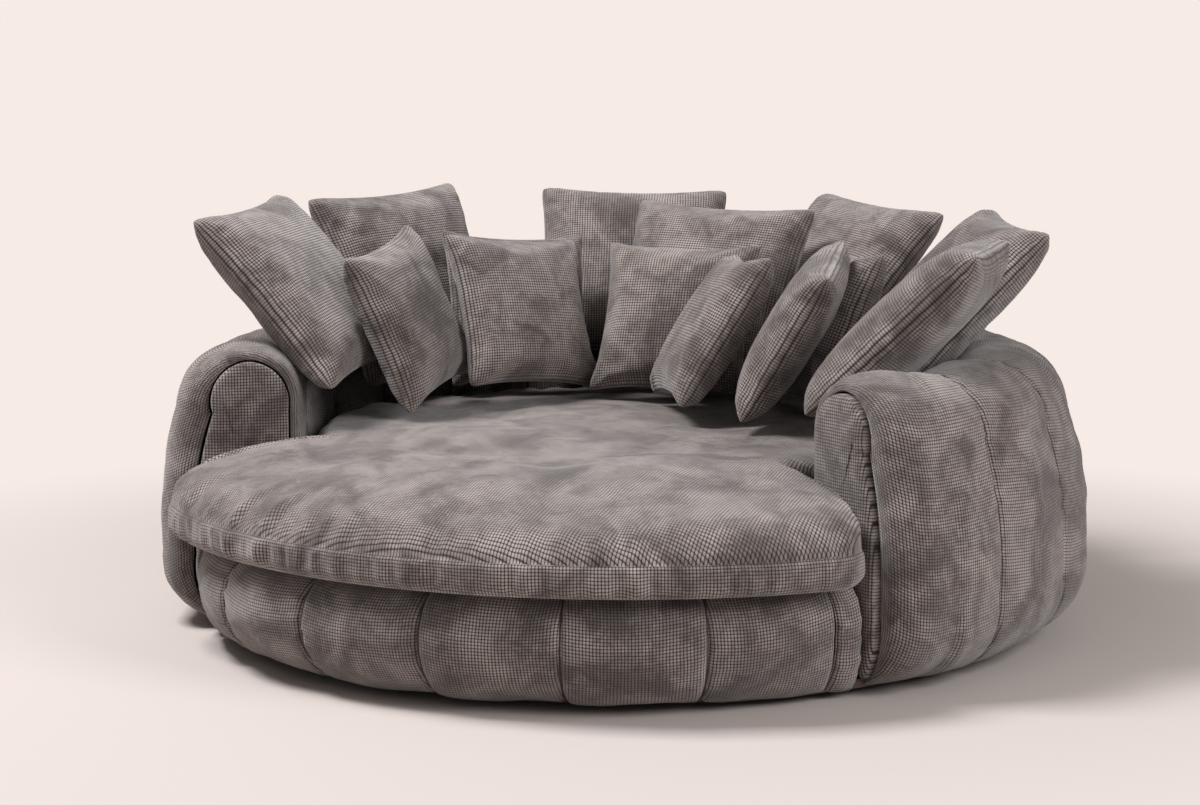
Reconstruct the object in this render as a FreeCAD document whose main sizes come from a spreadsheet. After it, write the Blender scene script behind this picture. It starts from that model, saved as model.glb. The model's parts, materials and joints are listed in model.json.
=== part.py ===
"""Round cuddle chair: padded carcass, wrap covers, T-shaped seat cushion and scatter cushions.

Millimetres, +Z up.  The origin is on the floor under the middle of the seat, the open front
faces -Y and +X is on the right of someone who looks at the chair from the front.  "Around" is
an angle in degrees about +Z, counted from the front through the right-hand side: 0 is the
front, 90 the right, 180 the back and 270 the left.
"""
import FreeCAD
import Part
import Sketcher

import math
import os

from FreeCAD import Placement, Rotation, Vector

DOC = FreeCAD.newDocument("cuddle_chair")
SHEET = DOC.addObject("Spreadsheet::Sheet", "Sizes")

# Driving dimensions: alias, value in millimetres, degrees or pieces, what it is.  A value that
# starts with an equals sign follows from the ones above it.
SIZES = [
    ("outer_radius", 1050, "widest radius of the chair, at the bulge of the wrap"),
    ("back_top", 631, "height of the rolled back and arms"),
    ("floor_gap", 18, "height of the covers' underside, which the glides leave"),
    ("back_depth", 325, "from the bulge through the back to its inner wall"),
    ("wall_radius", "=outer_radius - back_depth", "inner face of the back, where the seat cushion ends"),
    ("arm_around", 53.5, "where the arm faces stand, from the front axis"),
    ("toe_inset", 115, "how far the wrap's underside is drawn in from the bulge"),
    ("bulge_height", 170, "height of the wrap's widest place"),
    ("shoulder_drop", 136, "from the roll's top down to its shoulder"),
    ("shoulder_height", "=back_top - shoulder_drop", "where the wrap starts to round over"),
    ("shoulder_inset", 42, "how far the shoulder is drawn in from the bulge"),
    ("crown_inset", 192, "from the bulge to the roll's top line"),
    ("crown_radius", "=outer_radius - crown_inset", "radius of the roll's top line"),
    ("crown_flat", 44, "width of the roll's level top"),
    ("wall_drop", 131, "from the roll's top down to the top of its inner wall"),
    ("wall_height", "=back_top - wall_drop", "where the inner wall starts to round over"),
    ("back_panels", 15, "sewn panels of the wrap, from arm face to arm face"),
    ("seam_depth", 12, "how deep a seam lies between two padded panels"),
    ("cover_gauge", 6, "cover fabric with its quilted wadding"),
    ("curl_length", 80, "how far behind the arm face the wrap starts to curl in"),
    ("face_outer_inset", 70, "arm face seam below the bulge"),
    ("face_top_inset", 28, "arm face seam below the roll's top"),
    ("face_inner_inset", 35, "arm face seam behind the inner wall"),
    ("fit_gap", 0.3, "clearance where soft or curved faces meet"),
    ("board_gap", 1.5, "clearance of the base board inside the wrap's lower edge"),
    ("rest_gap", 3.2, "clearance under a scatter cushion, for the roundness of both faces"),
    ("base_inset", 10, "how far the front roll's bulge lies inside the wrap's"),
    ("base_radius", "=outer_radius - base_inset", "bulge of the front base roll"),
    ("base_bulge_height", 135, "height of the front roll's bulge"),
    ("base_step", 16, "angle of one front base panel"),
    ("base_draw", 66, "how far the front roll's ends are drawn in at the arms"),
    ("roll_top_inset", 95, "from the front roll's bulge to where it levels out"),
    ("roll_top_radius", "=base_radius - roll_top_inset", "where the front roll levels out"),
    ("roll_tuck_width", 65, "level part of the front roll, under the seat cushion"),
    ("roll_tuck_radius", "=roll_top_radius - roll_tuck_width", "where the front cover is tucked in"),
    ("deck_height", 245, "top of the padded deck, under the seat cushion"),
    ("board_gauge", 18, "plywood of the frame"),
    ("facing_gauge", 3, "hardboard facings"),
    ("wall_padding", 32, "foam and cover on the inner wall"),
    ("facing_radius", "=wall_radius + wall_padding", "inner hardboard facing of the back"),
    ("side_padding", 122, "foam and cover at the bulge"),
    ("frame_radius", "=outer_radius - side_padding", "outer hardboard facing of the frame"),
    ("deck_padding", 32, "pad and webbing on the deck ring"),
    ("ring_top", "=deck_height - deck_padding", "top of the deck ring"),
    ("ring_width", 165, "from the inner wall to the deck ring's opening"),
    ("ring_hole_radius", "=wall_radius - ring_width", "opening of the deck ring, spanned by the webbing"),
    ("crown_padding", 60, "foam, rail and cover on the ribs"),
    ("rib_top", "=back_top - crown_padding", "top of the plywood ribs"),
    ("rib_corner", 50, "rounding of the ribs' top corners"),
    ("rail_width", 40, "width of the bent top rail"),
    ("post_count", 10, "softwood posts under the deck ring"),
    ("post_side", 45, "side of a post"),
    ("post_inset", 75, "from the inner wall to the circle of posts"),
    ("post_circle", "=wall_radius - post_inset", "radius of the circle of posts"),
    ("beam_spacing", 280, "distance between the two deck beams"),
    ("beam_bearing", 40, "how far a beam reaches under the deck ring"),
    ("beam_length", "=2 * (ring_hole_radius + beam_bearing)", "length of a deck beam"),
    ("webbing_width", 60, "elastic webbing strap"),
    ("webbing_gauge", 1.4, "thickness of the webbing"),
    ("webbing_count", 9, "straps each way"),
    ("webbing_margin", 88, "from the opening's side to the middle of the last strap"),
    ("webbing_pitch", "=2 * (ring_hole_radius - webbing_margin) / (webbing_count - 1)",
     "distance from strap to strap"),
    ("staple_margin", 30, "how far a strap reaches over the deck ring"),
    ("dust_gauge", 1, "non-woven dust cover"),
    ("glide_count", 8, "glides under the base board"),
    ("glide_inset", 220, "from the bulge to the circle of glides"),
    ("glide_circle", "=outer_radius - glide_inset", "radius of the circle of glides"),
    ("glide_radius", 25, "radius of a glide"),
    ("screw_radius", 2, "shank of a glide screw"),
    ("screw_length", 26, "shank length of a glide screw"),
    ("screw_head_radius", 5, "head of a glide screw"),
    ("screw_head_height", 3.5, "height of a glide screw's head"),
    ("cushion_boxing", 67, "height of the seat cushion's edge, up to its top seam"),
    ("cushion_crown", 230, "thickness of the seat cushion in the middle"),
    ("cushion_gap", 10, "clearance of the seat cushion to back and arms"),
    ("ear_tip_radius", 110, "rounding of the seat cushion's ears"),
    ("notch_radius", 30, "rounding where an ear meets the narrow part"),
    ("cushion_gauge", 5, "seat cushion cover with its wadding"),
    ("zip_width", 16, "zip tape at the back of the seat cushion"),
    ("zip_reach", 60, "the zip's reach to each side of the back's middle"),
    ("zip_pull_length", 24, "zip slider with its pull"),
    ("large_side", 495, "large scatter cushion, from corner to corner"),
    ("large_thickness", 155, "crown of a large scatter cushion"),
    ("small_side", 390, "small scatter cushion, from corner to corner"),
    ("small_thickness", 125, "crown of a small scatter cushion"),
    ("scatter_gauge", 3, "scatter cushion cover"),
    ("scatter_gap", 4, "least distance between two scatter cushions"),
]

# Scatter cushions in the order in which they are set down, each as its name, around, distance
# of its middle in front of the back's inner wall, turn from facing the centre, lean and roll.
LARGE, SMALL = "large", "small"
SCATTER = [
    ("large_cushion_1", LARGE, 287, -21, -12, 40, 5),
    ("large_cushion_2", LARGE, 251, 13, -1, 23, 3),
    ("large_cushion_3", LARGE, 201, -20, 0, 33, -1),
    ("large_cushion_5", LARGE, 158, -10, -11, 40, -5),
    ("large_cushion_7", LARGE, 120, -16, 2, 43, -5),
    ("large_cushion_6", LARGE, 83, 15, 13, 46, 0),
    ("large_cushion_4", LARGE, 180, 187, -5, 27, -2),
    ("small_cushion_3", SMALL, 230, 185, -1, 16, -3),
    ("small_cushion_7", SMALL, 128, 227, -5, 22, 1),
    ("small_cushion_2", SMALL, 240, 333, 3, 22, -5),
    ("small_cushion_4", SMALL, 182, 372, 3, 25, 0),
    ("small_cushion_1", SMALL, 279, 203, -7, 21, 9),
    ("small_cushion_6", SMALL, 95, 317, 12, 30, -10),
    ("small_cushion_5", SMALL, 127, 509, -7, 32, 3),
]


def fill_sheet():
    """Write the driving dimensions into the sheet, one row each."""
    for row, (alias, value, note) in enumerate(SIZES, start=1):
        SHEET.set("A%d" % row, alias)
        SHEET.set("B%d" % row, str(value))
        SHEET.set("C%d" % row, note)
        SHEET.setAlias("B%d" % row, alias)
    DOC.recompute()


def size(alias):
    """Value of one driving dimension."""
    return float(SHEET.get(alias))


fill_sheet()
FRONT_LIMIT = size("arm_around") - 1.3
ARM_BOARD_AROUND = size("arm_around") + 2.7
FACE_AROUND = size("arm_around") - 1.0
FRAME_AROUND = ARM_BOARD_AROUND + 0.7
FRONT_BACK_OFFSET = 0.72
BOARD_TOP = size("floor_gap") + size("board_gauge")
CUSHION_BOTTOM = size("deck_height") + size("fit_gap")
CUSHION_TOP = CUSHION_BOTTOM + size("cushion_crown")


def polar(around, radius, height=0.0):
    """Point at an angle from the front, a radius and a height."""
    angle = math.radians(around)
    return Vector(radius * math.sin(angle), -radius * math.cos(angle), height)


def bind(thing, **expressions):
    """Bind properties of an object to expressions; a double underscore stands for a point."""
    for name, expression in expressions.items():
        thing.setExpression(name.replace("__", "."), expression)
    return thing


def add(kind, label, **expressions):
    """New object of the document with its label and its bound sizes."""
    thing = DOC.addObject(kind, label)
    thing.Label = label
    return bind(thing, **expressions)


def feature(label, shape, placement=None):
    """Object for a form that has no parametric feature of its own."""
    thing = DOC.addObject("Part::Feature", label)
    thing.Label = label
    thing.Shape = shape
    if placement:
        thing.Placement = placement
    return thing


def compound(label, things):
    """One node that holds several separate solids."""
    group = DOC.addObject("Part::Compound", label)
    group.Label = label
    group.Links = things
    return group


def sector(label, inner, outer, bottom, height, start, end):
    """Ring, or part of one, between two angles from the front; sizes are expressions."""
    turn = Rotation(Vector(0, 0, 1), start - 90)
    parts = []
    for name, radius in (("outer", outer), ("inner", inner)):
        part = add("Part::Cylinder", label + "_" + name, Radius=radius, Height=height)
        part.Angle = end - start
        part.Placement = Placement(Vector(0, 0, 0), turn)
        parts.append(bind(part, Placement__Base__z=bottom))
    ring = DOC.addObject("Part::Cut", label)
    ring.Label = label
    ring.Base, ring.Tool = parts
    return ring


def arc(start, middle, end):
    """Arc edge through three points."""
    return Part.Arc(start, middle, end).toShape()


def line(start, end):
    """Straight edge."""
    return Part.LineSegment(start, end).toShape()


def path_edges(points):
    """Edges through points given as (point, middle of the arc that leads to it or None)."""
    edges = []
    for before, (point, middle) in zip(points, points[1:]):
        start = before[0]
        edges.append(arc(start, middle, point) if middle else line(start, point))
    return edges


def reversed_path(points):
    """The same path walked the other way."""
    middles = [middle for _, middle in points[1:]] + [None]
    turned = [(point, middle) for (point, _), middle in zip(points, middles)]
    turned.reverse()
    return [(turned[0][0], None)] + [(point, turned[i][1]) for i, (point, _) in enumerate(turned)][1:]


def closed_wire(points):
    """Closed wire through a path, with a straight edge back to its start."""
    edges = path_edges(points)
    edges.append(line(points[-1][0], points[0][0]))
    return Part.Wire(edges)


def section(points, around):
    """Closed wire of a profile drawn in radius and height, stood at an angle from the front."""
    def stand(pair):
        return None if pair is None else polar(around, pair[0], pair[1])
    return closed_wire([(stand(point), stand(middle)) for point, middle in points])


def shell_path(outer, inner):
    """Outline of a skin: its outer path, then its inner path back to the start."""
    back = reversed_path(inner)
    return outer + [(back[0][0], None)] + back[1:]


# How an arc of a profile bows: where its middle point lies between its ends, as a share in
# radius and in height, and how far it stands off from there in radius and in height.
HEEL_BOW = (0.66, 0.29, 0, 0)
SIDE_BOW = (0, 0.5, -6, 0)
BROW_BOW = (0.63, 0.72, 22, 9)
INNER_BROW_BOW = (0.69, 0.33, 0, 9)
BASE_HEEL_BOW = (0.64, 0.34, 0, 0)
BASE_BROW_BOW = (0.28, 0.64, 4, 0)
# Shares of a seam's inset that reach the crown, the heights of shoulder and wall, and the top of
# the front roll.
CROWN_FOLLOW = 0.3
HEIGHT_FOLLOW = 0.4
BASE_TOP_FOLLOW = 0.4
BASE_LEVEL_FOLLOW = 0.1


def bowed(start, end, bow):
    """Middle point of the arc between two points of a profile."""
    along, up, out, rise = bow
    return (start[0] + along * (end[0] - start[0]) + out, start[1] + up * (end[1] - start[1]) + rise)


def wrap_path(outer, top, inner, skin=0.0):
    """Roll profile from its underside over the crown down to the deck.

    outer, top and inner are how far the flank, the crown and the inner wall lie inside the full
    form; skin is a further distance all along the profile.
    """
    reach = size("outer_radius")
    flank = outer + skin
    crown = size("back_top") - top - skin
    half_flat = size("crown_flat") / 2
    wall = size("wall_radius") + inner + skin
    toe = (reach - size("toe_inset"), size("floor_gap") + skin)
    bulge = (reach - flank, size("bulge_height"))
    shoulder = (reach - size("shoulder_inset") - flank, size("shoulder_height") - HEIGHT_FOLLOW * top)
    crown_out = (size("crown_radius") + half_flat - CROWN_FOLLOW * outer, crown)
    crown_in = (size("crown_radius") - half_flat + CROWN_FOLLOW * inner, crown)
    wall_top = (wall, size("wall_height") - HEIGHT_FOLLOW * top)
    foot = (wall, size("ring_top") + size("fit_gap"))
    return [(toe, None), (bulge, bowed(toe, bulge, HEEL_BOW)), (shoulder, bowed(bulge, shoulder, SIDE_BOW)),
            (crown_out, bowed(shoulder, crown_out, BROW_BOW)), (crown_in, None),
            (wall_top, bowed(crown_in, wall_top, INNER_BROW_BOW)), (foot, None)]


def base_path(pinch, skin=0.0):
    """Front roll profile from its underside over the bulge to the tuck under the cushion."""
    toe = (size("outer_radius") - size("toe_inset"), size("floor_gap") + skin)
    bulge = (size("base_radius") - pinch - skin, size("base_bulge_height"))
    level = size("deck_height") - BASE_LEVEL_FOLLOW * pinch - skin
    top = (size("roll_top_radius") - BASE_TOP_FOLLOW * pinch, level)
    tuck = (size("roll_tuck_radius"), level)
    return [(toe, None), (bulge, bowed(toe, bulge, BASE_HEEL_BOW)), (top, bowed(bulge, top, BASE_BROW_BOW)),
            (tuck, None)]


def curl(distance):
    """Share of the arm face's inset that is left at a distance behind the face."""
    share = max(0.0, 1.0 - distance / size("curl_length"))
    return 1.0 - math.sqrt(1.0 - share * share)


# Sections of the wrap's end panels: shares of the curl behind the arm face, then of the way from
# there to the seam with the depth that the seam has drawn the panel in.
CURL_SHARES = (0, 0.04, 0.12, 0.3, 0.6, 1)
SEAM_SHARES = ((0.35, 0.05), (0.7, 0.35), (1, 1))


def wrap_panel(index):
    """One sewn panel of the wrap: a skin lofted from seam to seam over its swell."""
    count = int(size("back_panels"))
    step = (360 - 2 * size("arm_around")) / count
    start = size("arm_around") + index * step
    seam = size("seam_depth")
    insets = [(start, seam, seam, seam), (start + step / 2, 0, 0, 0), (start + step, seam, seam, seam)]
    if index in (0, count - 1):
        per_degree = math.radians(1) * size("crown_radius")
        insets = []
        for share in CURL_SHARES:
            left = curl(share * size("curl_length"))
            around = size("arm_around") + share * size("curl_length") / per_degree
            insets.append((around, left * size("face_outer_inset"), left * size("face_top_inset"),
                           left * size("face_inner_inset")))
        last = size("arm_around") + step
        for share, depth in SEAM_SHARES:
            around = insets[-1][0] + share * (last - insets[-1][0]) if share < 1 else last
            insets.append((around, depth * seam, depth * seam, depth * seam))
        if index:
            insets = [(360 - around, outer, top, inner) for around, outer, top, inner in insets]
    wires = []
    for around, outer, top, inner in insets:
        path = shell_path(wrap_path(outer, top, inner), wrap_path(outer, top, inner, size("cover_gauge")))
        wires.append(section(path, around))
    return Part.makeLoft(wires, True, index in (0, count - 1))


def drawn_in(around):
    """How far the front roll lies inside its full form at an angle, more and more to the arms."""
    share = max(0.0, abs(around) - size("base_step")) / (FRONT_LIMIT - size("base_step"))
    return size("base_draw") * share * share


# Share of a seam's depth that is left in the middle of a narrow panel of the front roll.
NARROW_PINCH = 0.25


def base_panel(start, end):
    """One sewn panel of the front roll, from seam to seam over its swell."""
    swell = NARROW_PINCH if end - start < size("base_step") else 0
    wires = []
    for around, share in ((start, 1), ((start + end) / 2, swell), (end, 1)):
        pinch = drawn_in(around) + share * size("seam_depth")
        path = shell_path(base_path(pinch), base_path(pinch, size("cover_gauge")))
        wires.append(section(path, around))
    return Part.makeLoft(wires, True, False)


def revolved(points, start, end):
    """Solid of a profile turned about the chair's axis between two angles from the front."""
    face = Part.Face(section(points, start))
    return face.revolve(Vector(0, 0, 0), Vector(0, 0, 1), end - start)


# Inset of the arm face's toe as a share of its rim's, and how far its heel is pulled in and up.
TOE_FOLLOW = 0.3
HEEL_PULL = 12


def face_outline(extra, around):
    """Outline of the arm face, drawn in by an extra distance, at an angle from the front."""
    skin = size("cover_gauge") + size("fit_gap") + extra
    path = wrap_path(size("face_outer_inset"), size("face_top_inset"), size("face_inner_inset"), skin)
    base = BOARD_TOP + size("fit_gap")
    toe_radius = size("outer_radius") - size("toe_inset") - TOE_FOLLOW * extra
    path[0] = ((toe_radius, base), None)
    heel = path[1][1]
    path[1] = (path[1][0], (heel[0] - HEEL_PULL, max(heel[1], base + HEEL_PULL)))
    path[-1] = ((path[-1][0][0], base), None)
    return section(path, around)


def mirrored(shape):
    """The same shape on the chair's other side."""
    return shape.mirror(Vector(0, 0, 0), Vector(1, 0, 0))


def make_wrap():
    """The wrap in its three joined lengths: right arm, back and left arm."""
    panels = [wrap_panel(index) for index in range(int(size("back_panels")))]
    third = len(panels) // 3
    names = ("right_arm_wrap", "back_wrap", "left_arm_wrap")
    runs = (panels[:third], panels[third:len(panels) - third], panels[len(panels) - third:])
    return [feature(name, Part.Compound(run)) for name, run in zip(names, runs)]


def make_base_panels():
    """The six panels of the front roll; the outer two carry the narrow end piece at the arm."""
    step = size("base_step")
    nodes = []
    for index in range(6):
        start = (index - 3) * step
        solids = [base_panel(start, start + step)]
        if index == 0:
            solids.append(base_panel(-FRONT_LIMIT, start))
        if index == 5:
            solids.append(base_panel(start + step, FRONT_LIMIT))
        nodes.append(feature("base_panel_%d" % (index + 1), Part.Compound(solids)))
    return nodes


# Rounding of an arm front: degrees behind its face and how far its outline is drawn in there.
FRONT_ROUNDING = ((0.5, 3), (0.25, 10), (0.1, 20), (0, 40))


def make_arm_fronts():
    """Padded tombstone panels that close the arms, with a rounded edge and a slight swell."""
    back = ARM_BOARD_AROUND - FRONT_BACK_OFFSET
    stations = [(back, 0), (size("arm_around") - 0.2, 0)]
    stations += [(FACE_AROUND + ahead, extra) for ahead, extra in FRONT_ROUNDING]
    solid = Part.makeLoft([face_outline(extra, around) for around, extra in stations], True, True)
    return [feature("right_arm_front", solid), feature("left_arm_front", mirrored(solid))]


BOARD_INSET = 4


def make_arm_boards():
    """Plywood tombstones behind the arm fronts."""
    outline = face_outline(BOARD_INSET, ARM_BOARD_AROUND)
    across = polar(ARM_BOARD_AROUND + 90, 1)
    face = Part.Face(outline)
    face.translate(across * (-size("board_gauge") / 2))
    solid = face.extrude(across * size("board_gauge"))
    return [feature("right_arm_board", solid), feature("left_arm_board", mirrored(solid))]


def make_ribs():
    """Plywood ribs at the wrap's seams, standing on the base board."""
    inner = size("facing_radius") + size("facing_gauge")
    outer = size("frame_radius") - size("facing_gauge") - size("fit_gap")
    bottom, top, corner = BOARD_TOP, size("rib_top"), size("rib_corner")
    reach = corner * (1 - math.sqrt(0.5))
    path = [((outer, bottom), None), ((outer, top - corner), None),
            ((outer - corner, top), (outer - reach, top - reach)), ((inner + corner, top), None),
            ((inner, top - corner), (inner + reach, top - reach)), ((inner, bottom), None)]
    count = int(size("back_panels"))
    step = (360 - 2 * size("arm_around")) / count
    ribs = []
    for index in range(1, count):
        around = size("arm_around") + index * step
        across = polar(around + 90, 1)
        face = Part.Face(section(path, around))
        face.translate(across * (-size("board_gauge") / 2))
        ribs.append(face.extrude(across * size("board_gauge")))
    return feature("back_ribs", Part.Compound(ribs))


def make_back_foam():
    """Foam that rolls over the back frame, from arm board to arm board."""
    seam, skin, gap = size("seam_depth"), size("cover_gauge") + size("fit_gap"), size("fit_gap")
    outer = wrap_path(seam, seam, seam, skin)
    toe = outer[0][0]
    inner_radius = size("facing_radius") - gap
    outer_radius = size("frame_radius") + gap
    rail_top = size("rib_top") + size("board_gauge") + gap
    base = BOARD_TOP + gap
    corner = size("rib_corner")
    reach = corner * (1 - math.sqrt(0.5))
    inner = [((toe[0], base), None), ((outer_radius, base), None), ((outer_radius, rail_top - corner), None),
             ((outer_radius - corner, rail_top), (outer_radius - reach, rail_top - reach)),
             ((inner_radius + corner, rail_top), None),
             ((inner_radius, rail_top - corner), (inner_radius + reach, rail_top - reach)),
             ((inner_radius, outer[-1][0][1]), None)]
    back = reversed_path(inner)
    start = FRAME_AROUND + 2
    return feature("back_foam", revolved(outer + [(back[0][0], None)] + back[1:], start, 360 - start))


FOAM_SECTIONS = 13


def make_front_foam():
    """Foam of the front roll, over the edge of the deck ring."""
    skin, gap = size("cover_gauge") + size("fit_gap"), size("fit_gap")
    edge = size("frame_radius") + gap
    base = BOARD_TOP + gap
    ring = size("ring_top") + gap
    tuck = size("roll_tuck_radius") + gap
    limit = 3 * size("base_step") - 0.5
    wires = []
    for index in range(FOAM_SECTIONS):
        around = limit * (2 * index / (FOAM_SECTIONS - 1) - 1)
        outer = base_path(drawn_in(around) + size("seam_depth"), skin)
        toe, level = outer[0][0], outer[-1][0][1]
        outer[-1] = ((tuck, level), None)
        inner = [((tuck, ring), None), ((edge, ring), None), ((edge, base), None), ((toe[0], base), None)]
        wires.append(section(outer + inner, around))
    return feature("front_foam", Part.makeLoft(wires, True, False))


def drilled_disc(label, radius, bottom, gauge, hole):
    """Disc with a hole for each glide screw: a padded sketch, a pocket and its polar pattern."""
    body = DOC.addObject("PartDesign::Body", label)
    body.Label = label
    plane = next(f for f in body.Origin.OriginFeatures if f.Role == "XY_Plane")
    axis = next(f for f in body.Origin.OriginFeatures if f.Role == "Z_Axis")
    sketches = []
    for name, centre, width in (("disc", 0, radius), ("hole", "Sizes.glide_circle", hole)):
        sketch = body.newObject("Sketcher::SketchObject", label + "_" + name)
        sketch.AttachmentSupport = (plane, [""])
        sketch.MapMode = "FlatFace"
        at = size("glide_circle") if name == "hole" else 0
        sketch.addGeometry(Part.Circle(Vector(at, 0, 0), Vector(0, 0, 1), 100 if name == "disc" else 2))
        sketch.addConstraint(Sketcher.Constraint("Radius", 0, 100 if name == "disc" else 2))
        sketch.setExpression("Constraints[0]", width)
        if name == "hole":
            sketch.addConstraint(Sketcher.Constraint("PointOnObject", 0, 3, -1))
            sketch.addConstraint(Sketcher.Constraint("DistanceX", -1, 1, 0, 3, at))
            sketch.setExpression("Constraints[2]", centre)
        else:
            sketch.addConstraint(Sketcher.Constraint("Coincident", 0, 3, -1, 1))
        sketches.append(sketch)
    pad = body.newObject("PartDesign::Pad", label + "_pad")
    pad.Profile = sketches[0]
    pad.setExpression("Length", gauge)
    DOC.recompute()
    pocket = body.newObject("PartDesign::Pocket", label + "_pocket")
    pocket.Profile = sketches[1]
    pocket.Type = "ThroughAll"
    pocket.Reversed = True
    DOC.recompute()
    pattern = body.newObject("PartDesign::PolarPattern", label + "_pattern")
    pattern.Originals = [pocket]
    pattern.Axis = (axis, [""])
    pattern.Angle = 360
    pattern.setExpression("Occurrences", "Sizes.glide_count")
    body.Tip = pattern
    bind(body, Placement__Base__z=bottom)
    return body


def make_deck_ring():
    """Plywood ring that carries the webbing; it reaches further out at the open front."""
    rest = add("Part::Cylinder", "ring_round", Radius="Sizes.facing_radius - Sizes.fit_gap",
               Height="Sizes.board_gauge", Placement__Base__z="Sizes.ring_top - Sizes.board_gauge")
    front = add("Part::Cylinder", "ring_front", Height="Sizes.board_gauge",
                Radius="Sizes.frame_radius - Sizes.facing_gauge - Sizes.fit_gap")
    front.Angle = 2 * FRONT_LIMIT
    front.Placement = Placement(Vector(0, 0, 0), Rotation(Vector(0, 0, 1), -90 - FRONT_LIMIT))
    bind(front, Placement__Base__z="Sizes.ring_top - Sizes.board_gauge")
    board = DOC.addObject("Part::Fuse", "ring_board")
    board.Base, board.Tool = rest, front
    hole = add("Part::Cylinder", "ring_hole", Radius="Sizes.ring_hole_radius", Height="Sizes.board_gauge",
               Placement__Base__z="Sizes.ring_top - Sizes.board_gauge")
    ring = DOC.addObject("Part::Cut", "deck_ring")
    ring.Label = "deck_ring"
    ring.Base, ring.Tool = board, hole
    return ring


def make_deck_pad():
    """Felt and foam pad on the webbing, in the shape of the deck."""
    bottom = "Sizes.ring_top + 2 * Sizes.webbing_gauge"
    height = "Sizes.deck_height - Sizes.ring_top - 2 * Sizes.webbing_gauge"
    rest = add("Part::Cylinder", "pad_round", Radius="Sizes.wall_radius - Sizes.fit_gap", Height=height,
               Placement__Base__z=bottom)
    front = add("Part::Cylinder", "pad_front", Radius="Sizes.roll_tuck_radius - Sizes.fit_gap", Height=height)
    front.Angle = 2 * FRONT_LIMIT
    front.Placement = Placement(Vector(0, 0, 0), Rotation(Vector(0, 0, 1), -90 - FRONT_LIMIT))
    bind(front, Placement__Base__z=bottom)
    pad = DOC.addObject("Part::Fuse", "deck_pad")
    pad.Label = "deck_pad"
    pad.Base, pad.Tool = rest, front
    return pad


def make_webbing():
    """Elastic straps stapled over the deck ring's opening, one layer across the other."""
    count = int(size("webbing_count"))
    straps = []
    for layer in range(2):
        for index in range(count):
            offset = "(%d * Sizes.webbing_pitch)" % (index - count // 2)
            edge = "(abs(%s) + Sizes.webbing_width / 2)" % offset
            length = "2 * sqrt((Sizes.ring_hole_radius + Sizes.staple_margin)^2 - %s^2)" % edge
            strap = add("Part::Box", "strap_%d_%d" % (layer + 1, index + 1), Length=length,
                        Width="Sizes.webbing_width", Height="Sizes.webbing_gauge",
                        Placement__Base__z="Sizes.ring_top + %d * Sizes.webbing_gauge" % layer)
            along, sideways = ("-(%s) / 2" % length, "%s - Sizes.webbing_width / 2" % offset)
            if layer:
                strap.Placement = Placement(Vector(0, 0, 0), Rotation(Vector(0, 0, 1), 90))
                bind(strap, Placement__Base__y=along, Placement__Base__x="-(%s)" % sideways)
            else:
                bind(strap, Placement__Base__x=along, Placement__Base__y=sideways)
            straps.append(strap)
    return compound("seat_webbing", straps)


def make_posts():
    """Softwood posts between the base board and the deck ring."""
    count = int(size("post_count"))
    posts = []
    for index in range(count):
        post = add("Part::Box", "post_%d" % (index + 1), Length="Sizes.post_side", Width="Sizes.post_side",
                   Height="Sizes.ring_top - 2 * Sizes.board_gauge - Sizes.floor_gap")
        around = (index + 0.5) * 360 / count
        half = size("post_side") / 2
        corner = polar(around, size("post_circle") - half) - polar(around + 90, half)
        post.Placement = Placement(corner, Rotation(Vector(0, 0, 1), around - 90))
        posts.append(bind(post, Placement__Base__z="Sizes.floor_gap + Sizes.board_gauge"))
    return compound("frame_posts", posts)


def make_beams():
    """Two beams that stiffen the deck ring from front to back."""
    beams = []
    for index, side in enumerate((-1, 1)):
        beams.append(add("Part::Box", "beam_%d" % (index + 1), Length="Sizes.post_side",
                         Width="Sizes.beam_length", Height="Sizes.post_side",
                         Placement__Base__x="%d * Sizes.beam_spacing / 2 - Sizes.post_side / 2" % side,
                         Placement__Base__y="-Sizes.beam_length / 2",
                         Placement__Base__z="Sizes.ring_top - Sizes.board_gauge - Sizes.post_side"))
    return compound("deck_beams", beams)


def make_facings():
    """Hardboard facings of the frame: inside and outside of the back, and the front."""
    height = "Sizes.shoulder_height - Sizes.floor_gap - Sizes.board_gauge"
    bottom = "Sizes.floor_gap + Sizes.board_gauge"
    inside = sector("inner_facing", "Sizes.facing_radius", "Sizes.facing_radius + Sizes.facing_gauge",
                    bottom, height, FRAME_AROUND, 360 - FRAME_AROUND)
    outside = sector("outer_facing", "Sizes.frame_radius - Sizes.facing_gauge", "Sizes.frame_radius",
                     bottom, height, FRAME_AROUND, 360 - FRAME_AROUND)
    front = sector("front_facing", "Sizes.frame_radius - Sizes.facing_gauge", "Sizes.frame_radius", bottom,
                   "Sizes.ring_top - Sizes.floor_gap - Sizes.board_gauge", -FRONT_LIMIT, FRONT_LIMIT)
    return [compound("back_facings", [inside, outside]), front]


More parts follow.
